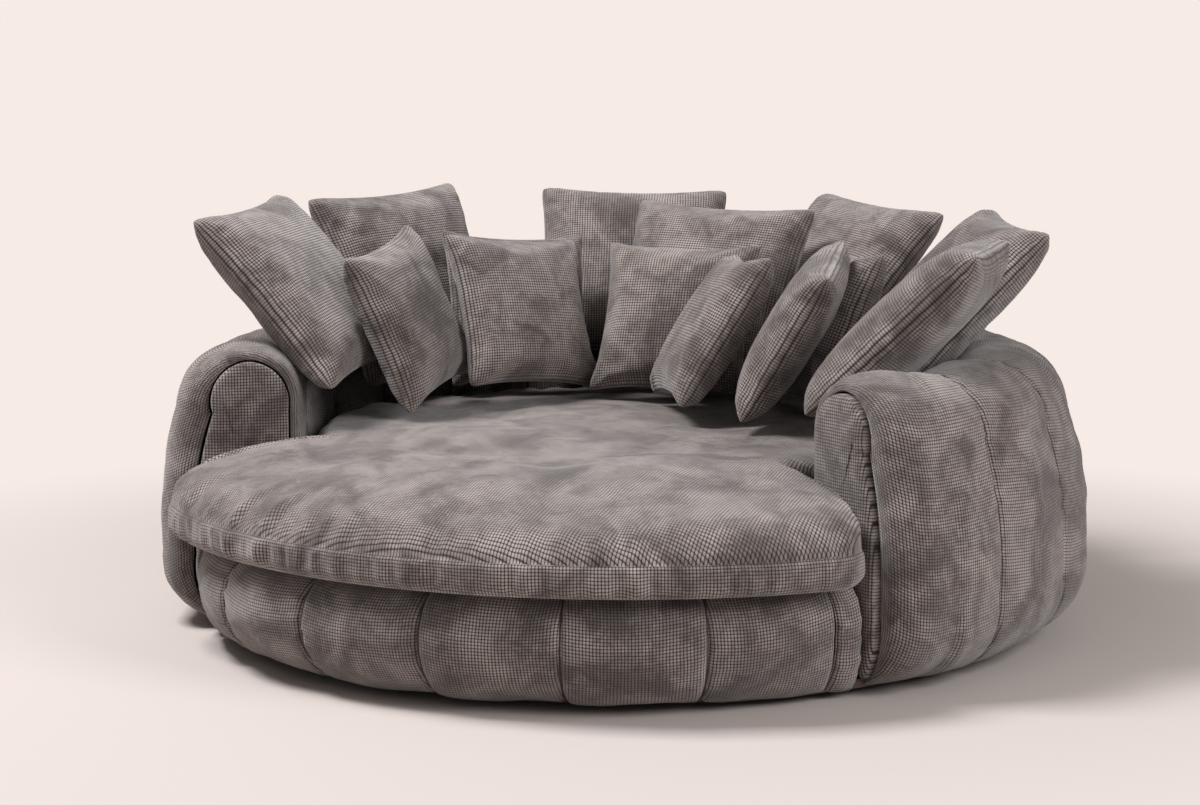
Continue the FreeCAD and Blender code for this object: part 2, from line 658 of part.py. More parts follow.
def make_glides():
    """Plastic glides, each with its screw up into the base board."""
    count = int(size("glide_count"))
    glides, screws = [], []
    top = "Sizes.floor_gap - Sizes.dust_gauge"
    for index in range(count):
        place = Rotation(Vector(0, 0, 1), index * 360 / count)
        at = place.multVec(Vector(size("glide_circle"), 0, 0))
        number = index + 1
        outer = add("Part::Cylinder", "glide_outer_%d" % number, Radius="Sizes.glide_radius", Height=top)
        bore = add("Part::Cylinder", "glide_bore_%d" % number, Height=top,
                   Radius="Sizes.screw_radius + Sizes.fit_gap")
        well = add("Part::Cylinder", "glide_well_%d" % number, Radius="Sizes.screw_head_radius + 1",
                   Height="(%s) / 2" % top)
        bores = DOC.addObject("Part::Fuse", "glide_bores_%d" % number)
        bores.Base, bores.Tool = bore, well
        glide = DOC.addObject("Part::Cut", "glide_%d" % number)
        glide.Base, glide.Tool = outer, bores
        glide.Placement = Placement(at, place)
        glides.append(glide)
        shank = add("Part::Cylinder", "shank_%d" % number, Radius="Sizes.screw_radius",
                    Height="Sizes.screw_length", Placement__Base__z="(%s) / 2 - 1" % top)
        head = add("Part::Cylinder", "head_%d" % number, Radius="Sizes.screw_head_radius",
                   Height="Sizes.screw_head_height",
                   Placement__Base__z="(%s) / 2 - Sizes.screw_head_height" % top)
        screw = DOC.addObject("Part::Fuse", "screw_%d" % number)
        screw.Base, screw.Tool = shank, head
        screw.Placement = Placement(at, place)
        screws.append(screw)
    return [compound("glides", glides), compound("glide_screws", screws)]


def cushion_outline(inset, height):
    """Plan of the T-shaped seat cushion, drawn in by an inset, at a height."""
    rim, tip, notch = size("outer_radius"), size("ear_tip_radius"), size("notch_radius")
    narrow = size("wall_radius") - size("cushion_gap")
    ear = FACE_AROUND - 0.6
    inward = polar(ear - 90, inset, 0)
    tip_turn = math.degrees(math.asin(tip / (rim - tip)))
    tip_centre = polar(ear - tip_turn, rim - tip)
    notch_reach = narrow + notch
    notch_turn = math.degrees(math.asin(notch / notch_reach))
    notch_centre = polar(ear + notch_turn, notch_reach)
    rim_end = polar(ear - tip_turn, rim - inset)
    side_out = polar(ear, (rim - tip) * math.cos(math.radians(tip_turn))) + inward
    side_in = polar(ear, notch_reach * math.cos(math.radians(notch_turn))) + inward
    narrow_end = polar(ear + notch_turn, narrow - inset)
    tip_middle = tip_centre + polar(0.5 * (ear - tip_turn + ear + 90), tip - inset)
    toward = ((side_in + narrow_end) * 0.5 - notch_centre).normalize()
    notch_middle = notch_centre + toward * (notch + inset)
    half = [(polar(0, rim - inset), None), (rim_end, polar(0.5 * (ear - tip_turn), rim - inset)),
            (side_out, tip_middle), (side_in, None), (narrow_end, notch_middle),
            (polar(180, narrow - inset), polar(0.5 * (ear + notch_turn + 180), narrow - inset))]

    def flip(point):
        return None if point is None else Vector(-point.x, point.y, 0)
    other = reversed_path([(flip(point), flip(middle)) for point, middle in half])
    wire = Part.Wire(path_edges(half) + path_edges(other))
    wire.translate(Vector(0, 0, height))
    return wire


def dome_arcs(skin=0.0):
    """The seat cushion's top from the middle to the rim: arcs as (start, middle, end)."""
    rim, top = size("outer_radius"), CUSHION_TOP - skin
    seam = CUSHION_BOTTOM + size("cushion_boxing") - skin
    rise = top - seam
    shoulder, brow = (0.695 * rim, top - 0.26 * rise), (rim - 90, top - 0.565 * rise)
    edge = (rim - skin, seam)
    return [((0, top), (0.38 * rim, top - 0.074 * rise), shoulder),
            (shoulder, (0.82 * rim, top - 0.393 * rise), brow),
            (brow, (rim - 28 - 0.6 * skin, top - 0.767 * rise), edge)]


def arc_height(start, middle, end, radius):
    """Height at a radius on the arc through three points of a profile."""
    circle = Part.Circle(*[Vector(r, z, 0) for r, z in (start, middle, end)])
    return circle.Center.y + math.sqrt(max(0.0, circle.Radius ** 2 - (radius - circle.Center.x) ** 2))


def dome_height(radius):
    """Height of the seat cushion's top at a radius."""
    if radius >= size("outer_radius"):
        return 0.0
    for start, middle, end in dome_arcs():
        if radius <= end[0]:
            return arc_height(start, middle, end, radius)
    return 0.0


def cushion_solid(skin):
    """Seat cushion drawn in by a skin: its plan with soft edges, cut by its domed top."""
    bottom, seam = CUSHION_BOTTOM, CUSHION_BOTTOM + size("cushion_boxing")
    levels = ((bottom + skin, 12), (bottom + 22, 0), (seam, 0), (seam + 60, 8), (CUSHION_TOP - 40, 30),
              (CUSHION_TOP + 10, 70))
    sides = Part.makeLoft([cushion_outline(inset + skin, level) for level, inset in levels], True, True)
    edges = []
    for start, middle, end in dome_arcs(skin):
        edges.append(arc(*[Vector(radius, 0, height) for radius, height in (start, middle, end)]))
    rim = edges[-1].Vertexes[-1].Point
    low = bottom - 5
    out = Vector(rim.x + 20, 0, rim.z)
    below, foot = Vector(out.x, 0, low), Vector(0, 0, low)
    middle = Vector(0, 0, CUSHION_TOP - skin)
    edges += [line(rim, out), line(out, below), line(below, foot), line(foot, middle)]
    dome = Part.Face(Part.Wire(edges)).revolve(Vector(0, 0, 0), Vector(0, 0, 1), 360)
    return sides.common(dome)


def make_seat_cushion():
    """Seat cushion: a cover shell, its filling and the zip at the back with its slider."""
    gauge = size("cushion_gauge")
    cover = cushion_solid(0).cut(cushion_solid(gauge))
    core = cushion_solid(gauge + size("fit_gap"))
    nodes = [feature("seat_cushion_cover", cover), feature("seat_cushion_core", core)]
    face = "Sizes.wall_radius - Sizes.cushion_gap"
    middle = "Sizes.deck_height + Sizes.fit_gap + Sizes.cushion_boxing / 2 + 5"
    start, end = 180 - size("zip_reach"), 180 + size("zip_reach")
    nodes.append(sector("seat_zip", face + " + 0.2", face + " + 1.4", middle + " - Sizes.zip_width / 2",
                        "Sizes.zip_width", start, end))
    turn = math.degrees(size("zip_pull_length") / size("wall_radius"))
    nodes.append(sector("zip_slider", face + " + 1.7", face + " + 4.5", middle + " - Sizes.zip_width / 4",
                        "Sizes.zip_width / 2", start + 0.5, start + 0.5 + turn))
    return nodes


# Levels of a scatter cushion: share of its side, share of its half thickness, how far the
# middle of a side is drawn in as a share of the side, and the rounding of its corners.
PILLOW_LEVELS = ((1.0, 0.0, 0.045, 0.03), (0.83, 0.5, 0.018, 0.09), (0.62, 0.8, -0.02, 0.14),
                 (0.36, 0.955, -0.025, 0.11), (0.14, 1.0, -0.01, 0.05))


def pillow_outline(side, share, draw, corner, height):
    """Square outline with drawn-in or swollen sides and rounded corners."""
    half, cut = 0.5 * side * share, corner * side
    points = []
    for turn in range(4):
        spin = Rotation(Vector(0, 0, 1), 90 * turn)
        start = spin.multVec(Vector(-half + cut, -half, height))
        middle = spin.multVec(Vector(0, -half + draw * side, height))
        end = spin.multVec(Vector(half - cut, -half, height))
        tip = spin.multVec(Vector(half - 0.25 * cut, -half + 0.25 * cut, height))
        points += [(start, middle, end), (end, tip, spin.multVec(Vector(half, -half + cut, height)))]
    return Part.Wire([arc(*three) for three in points])


def pillow_solid(side, thickness):
    """Scatter cushion: a loft from its seam to its crown, and the same below."""
    wires = []
    for share, rise, draw, corner in PILLOW_LEVELS:
        wires.append(pillow_outline(side, share, draw, corner, 0.5 * thickness * rise))
    upper = Part.makeLoft(wires, True, False)
    return upper.fuse(upper.mirror(Vector(0, 0, 0), Vector(0, 0, 1)))


def pillow_half_thickness(side, thickness, x, y):
    """Half thickness over a point of the cushion's plane, or 0 outside it."""
    far, near = max(abs(x), abs(y)), min(abs(x), abs(y))
    last = None
    for share, rise, draw, _ in PILLOW_LEVELS:
        half = 0.5 * side * share
        edge = half - draw * side * max(0.0, 1 - (near / half) ** 2)
        height = 0.5 * thickness * rise
        if far >= edge:
            if last is None:
                return 0.0
            along = (far - edge) / max(last[0] - edge, 1.0)
            swell = 0.5 * along * (1 - along)
            return height + (last[1] - height) * (along - swell)
        last = (edge, height)
    return 0.5 * thickness


def pillow_samples(side, thickness, count):
    """Points on both faces of a scatter cushion, in a square grid that follows its sides."""
    draw, corner = 2 * PILLOW_LEVELS[0][2], 0.5 * PILLOW_LEVELS[0][3]
    stations = [2 * index / (count - 1) - 1 for index in range(count)]
    points = []
    for u in stations:
        for v in stations:
            rounding = corner * abs(u * v) ** 30
            x = 0.4995 * side * u * (1 - draw * (1 - v * v) * abs(u) - rounding)
            y = 0.4995 * side * v * (1 - draw * (1 - u * u) * abs(v) - rounding)
            depth = pillow_half_thickness(side, thickness, x, y)
            points += [Vector(x, y, depth), Vector(x, y, -depth)]
    return points


class Pillow:
    """One scatter cushion with its pose on the seat."""

    def __init__(self, name, kind, around, before_wall, turn, lean, roll):
        self.name, self.around, self.turn, self.lean, self.roll = name, around, turn, lean, roll
        self.side, self.thickness = size(kind + "_side"), size(kind + "_thickness")
        self.out = size("wall_radius") - before_wall
        self.points = pillow_samples(self.side, self.thickness, COARSE_SAMPLES)
        self.fine_points = pillow_samples(self.side, self.thickness, FINE_SAMPLES)
        self.gap, self.clearance = size("rest_gap"), size("scatter_gap")
        self.shift = Vector(0, 0, 0)
        self.place(0.0)

    def place(self, height):
        """Stand the cushion at its angle, distance and height, facing the centre and leaning."""
        facing = self.around + 180 + self.turn
        forward, up = polar(facing, 1), Vector(0, 0, 1)
        lean, roll = math.radians(self.lean), math.radians(self.roll)
        normal = forward * math.cos(lean) + up * math.sin(lean)
        rising = up * math.cos(lean) - forward * math.sin(lean)
        across = polar(facing + 90, 1)
        self.across = across * math.cos(roll) + rising * math.sin(roll)
        self.rising = rising * math.cos(roll) - across * math.sin(roll)
        self.normal = normal
        self.centre = polar(self.around, self.out, height) + self.shift
        rotation = Rotation(self.across, self.rising, self.normal, "XYZ")
        self.placement = Placement(self.centre, rotation)
        self.world = [self.placement.multVec(point) for point in self.points]

    def set_down(self, points):
        """Lower the cushion until one of its points rests on the seat or on the roll of the back."""
        self.place(0.0)
        world = [self.placement.multVec(point) for point in points]
        self.place(self.gap + max(support(point) - point.z for point in world))

    def reaches(self, other, world):
        """Whether one of this cushion's points comes too near to another cushion."""
        for point in world:
            offset = point - other.centre
            x, y = offset.dot(other.across), offset.dot(other.rising)
            if max(abs(x), abs(y)) > 0.5 * other.side:
                continue
            depth = pillow_half_thickness(other.side, other.thickness, x, y)
            if depth and abs(offset.dot(other.normal)) < depth + self.clearance:
                return True
        return False

    def is_clear(self, near, fine):
        """Whether the cushion is clear of its neighbours, looked at coarsely or finely."""
        mine = self.fine_world() if fine else self.world
        for other in near:
            theirs = other.fine_world() if fine else other.world
            if self.reaches(other, mine) or other.reaches(self, theirs):
                return False
        return True

    def fine_world(self):
        """The cushion's fine points in the chair's frame."""
        return [self.placement.multVec(point) for point in self.fine_points]

    def is_near(self, other):
        """Whether another cushion is near enough to be touched."""
        return (other.centre - self.centre).Length < 0.7 * (self.side + other.side)

    def nestle(self, others):
        """Move the cushion the shortest way, in steps, until it is clear of those already there."""
        self.set_down(self.points)
        near = [other for other in others if self.is_near(other)]
        for ring in range(NESTLE_RINGS):
            for turn in range(0, 360 if ring else 30, 30):
                self.shift = polar(turn, ring * NESTLE_STEP)
                self.set_down(self.points)
                if self.is_clear(near, False):
                    self.set_down(self.fine_points)
                    if self.is_clear(near, True):
                        return


def roll_height(radius, inset):
    """Height of the back's roll above a radius, where the wrap is drawn in by an inset."""
    if radius < size("wall_radius") + inset:
        return 0.0
    path = wrap_path(inset, inset, inset)
    for (start, _), (end, middle) in zip(path, path[1:]):
        low, high = sorted((start[0], end[0]))
        if middle and start[1] > size("bulge_height") and low <= radius <= high:
            return arc_height(start, middle, end, radius)
    return size("back_top") - inset if radius < size("outer_radius") - inset else 0.0


# Step of the height tables and of a cushion that is moved, in millimetres, the most steps it
# takes, and the points along a side that are looked at for neighbours and for what lies below.
HEIGHT_STEP = 2.0
NESTLE_STEP = 4.0
NESTLE_RINGS = 40
COARSE_SAMPLES = 15
FINE_SAMPLES = 45


def height_table(function):
    """Heights of a round surface at even radii, for quick look-up."""
    count = int(1.2 * size("outer_radius") / HEIGHT_STEP)
    return [function(index * HEIGHT_STEP) for index in range(count)]


def look_up(table, radius):
    """Height between two entries of a table."""
    place = radius / HEIGHT_STEP
    index = min(int(place), len(table) - 2)
    share = min(place - index, 1.0)
    return table[index] * (1 - share) + table[index + 1] * share


def roll_table(inset):
    """Heights of the roll at even radii, where the wrap is drawn in by an inset."""
    return height_table(lambda radius: roll_height(radius, inset))


DOME = height_table(dome_height)
ROLLS = [roll_table(share * size("seam_depth")) for share in (0, 0.25, 0.5, 0.75, 1)]


def support(point):
    """Height of what lies under a point: the seat cushion, or the roll of back and arms."""
    radius = math.hypot(point.x, point.y)
    height = look_up(DOME, radius)
    around = math.degrees(math.atan2(abs(point.x), -point.y))
    if around > size("arm_around") and radius > size("wall_radius"):
        step = (360 - 2 * size("arm_around")) / size("back_panels")
        place = (around - size("arm_around")) / step % 1
        drawn = (2 * place - 1) ** 2 if around > size("arm_around") + step else 0
        height = max(height, look_up(ROLLS[int(drawn * (len(ROLLS) - 1))], radius))
    return height


def make_scatter():
    """Scatter cushions, each a cover shell and a filling, set down one after another."""
    gauge = size("scatter_gauge")
    shapes = {}
    for kind in (LARGE, SMALL):
        side, thickness = size(kind + "_side"), size(kind + "_thickness")
        outer = pillow_solid(side, thickness)
        inner = pillow_solid(side - 5 * gauge, thickness - 2 * gauge)
        loose = pillow_solid(side - 5 * gauge - 2, thickness - 2 * gauge - 2 * size("fit_gap"))
        shapes[kind] = (outer.cut(inner), loose)
    placed, nodes = [], []
    for entry in SCATTER:
        pillow = Pillow(*entry)
        pillow.nestle(placed)
        placed.append(pillow)
        cover, filling = shapes[entry[1]]
        nodes.append(feature(pillow.name + "_cover", cover.copy(), pillow.placement))
        nodes.append(feature(pillow.name + "_pad", filling.copy(), pillow.placement))
        print("%s pushed by %.1f, centre %.1f %.1f %.1f rising %.4f %.4f %.4f" % (
            (pillow.name, pillow.shift.Length) + tuple(pillow.centre) + tuple(pillow.rising)))
    return nodes


def make_parts():
    """Every node of the chair, in the order of its assembly."""
    whole_board = "Sizes.outer_radius - Sizes.toe_inset - Sizes.board_gap"
    nodes = [
        drilled_disc("base_board", whole_board, "Sizes.floor_gap", "Sizes.board_gauge",
                     "Sizes.screw_radius + 0.1"),
        drilled_disc("dust_cover", whole_board + " - 5", "Sizes.floor_gap - Sizes.dust_gauge",
                     "Sizes.dust_gauge", "Sizes.screw_radius + Sizes.fit_gap"),
        make_posts(), make_deck_ring(), make_beams(), make_ribs(),
        sector("top_rail", "Sizes.crown_radius - Sizes.rail_width / 2",
               "Sizes.crown_radius + Sizes.rail_width / 2", "Sizes.rib_top", "Sizes.board_gauge",
               FRAME_AROUND, 360 - FRAME_AROUND),
        make_webbing(), make_deck_pad(), make_back_foam(), make_front_foam(),
    ]
    nodes += make_facings() + make_arm_boards() + make_glides()
    nodes += make_wrap() + make_base_panels() + make_arm_fronts()
    nodes += make_seat_cushion() + make_scatter()
    return nodes


def check_and_export(nodes):
    """Check every object and every node's solids, then write one file for each node."""
    DOC.recompute()
    for thing in DOC.Objects:
        if "Invalid" in thing.State or "Error" in thing.State:
            raise RuntimeError("%s failed: %s" % (thing.Label, thing.State))
    os.makedirs("parts", exist_ok=True)
    for node in nodes:
        shape = node.Shape
        if shape.isNull() or not shape.isValid() or not shape.Solids:
            raise RuntimeError("%s has no valid solid" % node.Label)
        shape.exportStep("parts/%s.step" % node.Label)
        print("%s: %d solid(s), %.0f cm3" % (node.Label, len(shape.Solids), shape.Volume / 1000))
    print("%d nodes" % len(nodes))


check_and_export(make_parts())
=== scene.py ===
"""Looks of the round cuddle chair: quilted covers, seat cushion and scatter cushions in waffle cord.

Metres, +Z up, the open front faces -Y.  "Around" is an angle about +Z counted from the front
through the right-hand side: 0 is the front, 90 the right, 180 the back and 270 the left.
"""
from __future__ import annotations

import json
import logging
import math
from dataclasses import dataclass, field
from enum import Enum
from functools import partial

import bmesh
import bpy
import numpy as np
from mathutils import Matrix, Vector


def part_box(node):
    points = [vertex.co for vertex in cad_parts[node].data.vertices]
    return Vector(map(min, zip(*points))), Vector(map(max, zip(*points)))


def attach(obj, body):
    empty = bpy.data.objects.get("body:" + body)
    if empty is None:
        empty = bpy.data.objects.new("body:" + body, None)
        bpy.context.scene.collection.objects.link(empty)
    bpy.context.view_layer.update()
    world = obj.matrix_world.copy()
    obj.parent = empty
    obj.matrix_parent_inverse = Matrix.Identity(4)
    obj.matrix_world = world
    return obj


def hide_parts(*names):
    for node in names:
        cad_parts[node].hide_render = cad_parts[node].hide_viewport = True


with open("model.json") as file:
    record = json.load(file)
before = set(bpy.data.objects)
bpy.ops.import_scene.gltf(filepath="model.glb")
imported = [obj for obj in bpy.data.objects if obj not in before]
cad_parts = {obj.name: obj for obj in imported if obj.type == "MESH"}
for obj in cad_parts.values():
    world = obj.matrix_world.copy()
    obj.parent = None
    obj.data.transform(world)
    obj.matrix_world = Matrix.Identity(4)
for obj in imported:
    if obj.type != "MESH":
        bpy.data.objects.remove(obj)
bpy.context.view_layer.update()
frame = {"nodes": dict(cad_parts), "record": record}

LOG = logging.getLogger("cuddle_chair")
MM = 0.001
MERGE_DISTANCE = 1e-5
TINY = 1e-12

Numbers = np.ndarray | float
Bow = tuple[float, float, float, float]
Piece = bpy.types.Object
Tree = bpy.types.NodeTree
Node = bpy.types.Node
Socket = bpy.types.NodeSocket


def polar(around: Numbers, radius: Numbers, height: Numbers = 0.0) -> np.ndarray:
    """Points at angles from the front in degrees, radii and heights.

    Args:
        around: Angle from the front, in degrees.
        radius: Distance from the chair's axis.
        height: Height above the floor.

    Returns:
        Points as an array whose last axis is x, y, z: (r sin a, -r cos a, h).
    """
    angle = np.radians(around)
    return np.stack(np.broadcast_arrays(radius * np.sin(angle), -radius * np.cos(angle), height), axis=-1)


def arc_through(start: np.ndarray, middle: np.ndarray, end: np.ndarray, count: int) -> np.ndarray:
    """Points on the circles through three points, one circle for each row of the input.

    The centre solves |c - start| = |c - middle| = |c - end|; the points then stand at equal
    angles about it from start to end, through middle.

    Args:
        start: First points, an array of n rows of two coordinates.
        middle: Points between, of the same shape.
        end: Last points, of the same shape.
        count: Number of points on each arc.

    Returns:
        Array of n by count by 2.
    """
    first, second = middle - start, end - start
    cross = 2 * (first[:, 0] * second[:, 1] - first[:, 1] * second[:, 0])
    first_square, second_square = (first ** 2).sum(1), (second ** 2).sum(1)
    offset = np.stack([second[:, 1] * first_square - first[:, 1] * second_square,
                       first[:, 0] * second_square - second[:, 0] * first_square], axis=1)
    centre = start + offset / cross[:, None]
    radius = np.linalg.norm(start - centre, axis=1)
    from_angle = np.arctan2(*(start - centre).T[::-1])
    to_angle = np.arctan2(*(end - centre).T[::-1])
    forth, back = (to_angle - from_angle) % (2 * np.pi), (from_angle - to_angle) % (2 * np.pi)
    sweep = np.where(cross > 0, forth, -back)
    angle = from_angle[:, None] + sweep[:, None] * np.linspace(0, 1, count)
    return centre[:, None] + radius[:, None, None] * np.stack([np.cos(angle), np.sin(angle)], axis=-1)


def bowed_arc(start: np.ndarray, end: np.ndarray, bow: Bow, count: int) -> np.ndarray:
    """Arcs in radius and height from start to end, through points that a bow sets between them.

    Args:
        start: First points, an array of n rows of two coordinates.
        end: Last points, of the same shape.
        bow: Shares of the way in radius and height, then shifts of radius and height.
        count: Number of points on each arc.

    Returns:
        Array of n by count by 2.
    """
    share = np.array(bow[:2])
    return arc_through(start, start * (1 - share) + end * share + np.array(bow[2:]), end, count)


def straight(start: np.ndarray, end: np.ndarray, count: int) -> np.ndarray:
    """Evenly spaced points on straight lines, one line for each row of the input."""
    share = np.linspace(0, 1, count)[None, :, None]
    return start[:, None] * (1 - share) + end[:, None] * share


def joined(runs: list[np.ndarray]) -> np.ndarray:
    """Runs of points one after another, without the points that they share."""
    return np.concatenate([runs[0]] + [run[:, 1:] for run in runs[1:]], axis=1)


def pairs(like: np.ndarray, radius: Numbers, height: Numbers) -> np.ndarray:
    """Rows of (radius, height), one for each value of like."""
    return np.stack(np.broadcast_arrays(radius + 0 * like, height + 0 * like), axis=-1)


def run_length(points: np.ndarray, axis: int) -> np.ndarray:
    """Distance run along one axis of a grid of points, from 0 at its start."""
    run = np.cumsum(np.linalg.norm(np.diff(points, axis=axis), axis=-1), axis=axis)
    return np.insert(run, 0, 0, axis=axis)


def eased(count: int) -> np.ndarray:
    """Shares from 0 to 1, closer together at both ends."""
    return 0.5 - 0.5 * np.cos(np.pi * np.linspace(0, 1, count))


def ripple(along: np.ndarray, wavelength: float, seed: int, waves: int = 9) -> np.ndarray:
    """Irregular wave of about unit height: a sum of sines of seeded lengths and phases.

    Args:
        along: Distance along the seam or edge.
        wavelength: Mean length of a fold.
        seed: Seed of the random draw.
        waves: Number of sines in the sum.

    Returns:
        Array of the shape of along.
    """
    draw = np.random.default_rng(seed)
    lengths = wavelength * draw.uniform(0.65, 1.8, waves)
    phases = draw.uniform(0, 2 * np.pi, waves)
    return np.sin(along[..., None] * 2 * np.pi / lengths + phases).sum(-1) * math.sqrt(2 / waves)


def lumps(points: np.ndarray, wavelength: float, seed: int, waves: int = 20) -> np.ndarray:
    """Soft unevenness of about unit height: sines of the position in seeded directions."""
    draw = np.random.default_rng(seed)
    direction = draw.normal(size=(waves, 3))
    direction /= np.linalg.norm(direction, axis=1, keepdims=True)
    lengths = wavelength * draw.uniform(0.7, 1.7, waves)
    phases = draw.uniform(0, 2 * np.pi, waves)
    total = np.zeros(points.shape[:-1])
    for way, length, phase in zip(direction, lengths, phases):
        total += np.sin(points @ way * (2 * np.pi / length) + phase)
    return total * math.sqrt(2 / waves)


def grid_normals(points: np.ndarray, closed: bool = False) -> np.ndarray:
    """Unit normals of a grid of points: the cross product of its two directions.

    Args:
        points: Grid of rows by columns by 3.
        closed: Whether the last column meets the first.

    Returns:
        Array of the same shape.
    """
    if closed:
        across = np.roll(points, -1, axis=1) - np.roll(points, 1, axis=1)
    else:
        across = np.gradient(points, axis=1)
    normal = np.cross(across, np.gradient(points, axis=0))
    return normal / np.maximum(np.linalg.norm(normal, axis=-1, keepdims=True), TINY)


def outward_normals(points: np.ndarray, flank: int = 4) -> np.ndarray:
    """Unit normals of a roll's grid, turned so that they leave the axis at a row on its flank."""
    normal = grid_normals(points)
    leaving = (points * normal)[flank:flank + 1, :, :2].sum(-1, keepdims=True)
    return normal * np.where(leaving < 0, -1, 1)


def corners(values: np.ndarray) -> np.ndarray:
    """Values of a grid's points at the four corners of each of its cells, in face order."""
    return np.stack([values[:-1, :-1], values[:-1, 1:], values[1:, 1:], values[1:, :-1]], axis=2)


def threaded(across: np.ndarray, along: np.ndarray) -> np.ndarray:
    """Thread coordinates at the corners of each cell of a grid, cells by 4 by 2."""
    return np.stack([corners(across), corners(along)], axis=-1)


def linked(name: str, data: bpy.types.ID) -> Piece:
    """New object of the given data, linked to the scene."""
    piece = bpy.data.objects.new(name, data)
    bpy.context.scene.collection.objects.link(piece)
    return piece


@dataclass
class Patch:
    """A stretch of cloth: points, four-sided faces and the thread coordinates of their corners."""

    points: np.ndarray
    faces: np.ndarray
    thread: np.ndarray

    @classmethod
    def grid(cls, points: np.ndarray, thread: np.ndarray) -> Patch:
        """Patch of a grid of points.

        Args:
            points: Rows by columns by 3.
            thread: Thread coordinates in metres at each cell's corners, cells by 4 by 2.

        Returns:
            The patch, with its faces in the order of corners().
        """
        rows, columns = points.shape[:2]
        index = np.arange(rows * columns).reshape(rows, columns)
        return cls(points.reshape(-1, 3), corners(index).reshape(-1, 4), thread.reshape(-1, 4, 2))

    @classmethod
    def shell(cls, outer: np.ndarray, inner: np.ndarray, thread: np.ndarray) -> Patch:
        """Closed skin between two grids of one shape, with strips along its four edges.

        Args:
            outer: Grid of the outside, rows by columns by 3.
            inner: Grid of the inside.
            thread: Thread coordinates at the corners of each outer cell.

        Returns:
            The patch.
        """
        rows, columns = outer.shape[:2]
        size = rows * columns
        index = np.arange(size).reshape(rows, columns)
        face = corners(index).reshape(-1, 4)
        strips = [(index[0, 1:], index[0, :-1], thread[0, :, 1], thread[0, :, 0]),
                  (index[-1, :-1], index[-1, 1:], thread[-1, :, 3], thread[-1, :, 2]),
                  (index[:-1, 0], index[1:, 0], thread[:, 0, 0], thread[:, 0, 3]),
                  (index[1:, -1], index[:-1, -1], thread[:, -1, 2], thread[:, -1, 1])]
        flat = thread.reshape(-1, 4, 2)
        faces, threads = [face, face[:, ::-1] + size], [flat, flat[:, ::-1]]
        for here, there, start, end in strips:
            faces.append(np.stack([here, there, there + size, here + size], axis=1))
            threads.append(np.stack([start, end, end, start], axis=1))
        points = np.concatenate([outer.reshape(-1, 3), inner.reshape(-1, 3)])
        return cls(points, np.concatenate(faces), np.concatenate(threads))

    @classmethod
    def together(cls, patches: list[Patch]) -> Patch:
        """Several patches as one."""
        starts = np.cumsum([0] + [len(patch.points) for patch in patches[:-1]])
        return cls(np.concatenate([patch.points for patch in patches]),
                   np.concatenate([patch.faces + start for patch, start in zip(patches, starts)]),
                   np.concatenate([patch.thread for patch in patches]))

    def outward(self) -> Patch:
        """The patch with its faces turned so that the volume that they enclose is positive."""
        first, second, third, fourth = (self.points[self.faces[:, k]] for k in range(4))
        volume = (first * np.cross(second, third)).sum() + (first * np.cross(third, fourth)).sum()
        if volume < 0:
            return Patch(self.points, self.faces[:, ::-1], self.thread[:, ::-1])
        return self

    def build(self, name: str, finish: Finish) -> Piece:
        """Object of the patch, with doubled points merged and its thread coordinates as UV map.

        Args:
            name: Name of the object and its mesh.
            finish: Finish that dresses it.

        Returns:
            The object, at the origin.
        """
        patch = self.outward()
        mesh = bpy.data.meshes.new(name)
        mesh.from_pydata(patch.points.tolist(), [], patch.faces.tolist())
        layer = mesh.uv_layers.new(name="thread")
        layer.data.foreach_set("uv", patch.thread.reshape(-1))
        work = bmesh.new()
        work.from_mesh(mesh)
        bmesh.ops.remove_doubles(work, verts=work.verts, dist=MERGE_DISTANCE)
        work.to_mesh(mesh)
        work.free()
        mesh.polygons.foreach_set("use_smooth", [True] * len(mesh.polygons))
        mesh.materials.append(finish.material())
        return linked(name, mesh)


def linear(code: str) -> tuple[float, float, float, float]:
    """Linear colour of an sRGB hex value, with full alpha."""
    parts = [int(code[k:k + 2], 16) / 255 for k in (1, 3, 5)]
    values = [part / 12.92 if part <= 0.04045 else ((part + 0.055) / 1.055) ** 2.4 for part in parts]
    return (*values, 1.0)


def add(tree: Tree, kind: str, inputs: dict | None = None) -> Node:
    """New shader node of a tree.

    Args:
        tree: Tree of the material or world.
        kind: Node type, without the word that all shader nodes start with.
        inputs: Values by property name, input number or input name. A socket is linked.

    Returns:
        The node.
    """
    node = tree.nodes.new("ShaderNode" + kind)
    for key, value in (inputs or {}).items():
        if isinstance(value, Socket):
            tree.links.new(value, node.inputs[key])
        elif isinstance(key, str) and hasattr(node, key):
            setattr(node, key, value)
        else:
            node.inputs[key].default_value = value
    return node


def output(tree: Tree, kind: str, inputs: dict | None = None) -> Socket:
    """First output of a new node, which is made as by add()."""
    return add(tree, kind, inputs).outputs[0]


def object_place(tree: Tree) -> Socket:
    """Place in the object's own frame, for textures."""
    return add(tree, "TexCoord").outputs["Object"]


def stepped(tree: Tree, value: Socket, low: float, high: float) -> Socket:
    """Soft step of a value, from 0 at low to 1 at high."""
    return output(tree, "MapRange", {"interpolation_type": "SMOOTHSTEP", "From Min": low,
                                     "From Max": high, "Value": value})


def ramp(tree: Tree, factor: Socket, stops: list[tuple[float, str]]) -> Socket:
    """Colour ramp between two hex colours at given places, as its colour output."""
    node = add(tree, "ValToRGB", {0: factor})
    for element, (place, code) in zip(node.color_ramp.elements, stops):
        element.position = place
        element.color = linear(code)
    return node.outputs[0]


def cleared(owner: bpy.types.ID) -> Tree:
    """Node tree of a material or world, switched on and emptied."""
    owner.use_nodes = True
    owner.node_tree.nodes.clear()
    return owner.node_tree


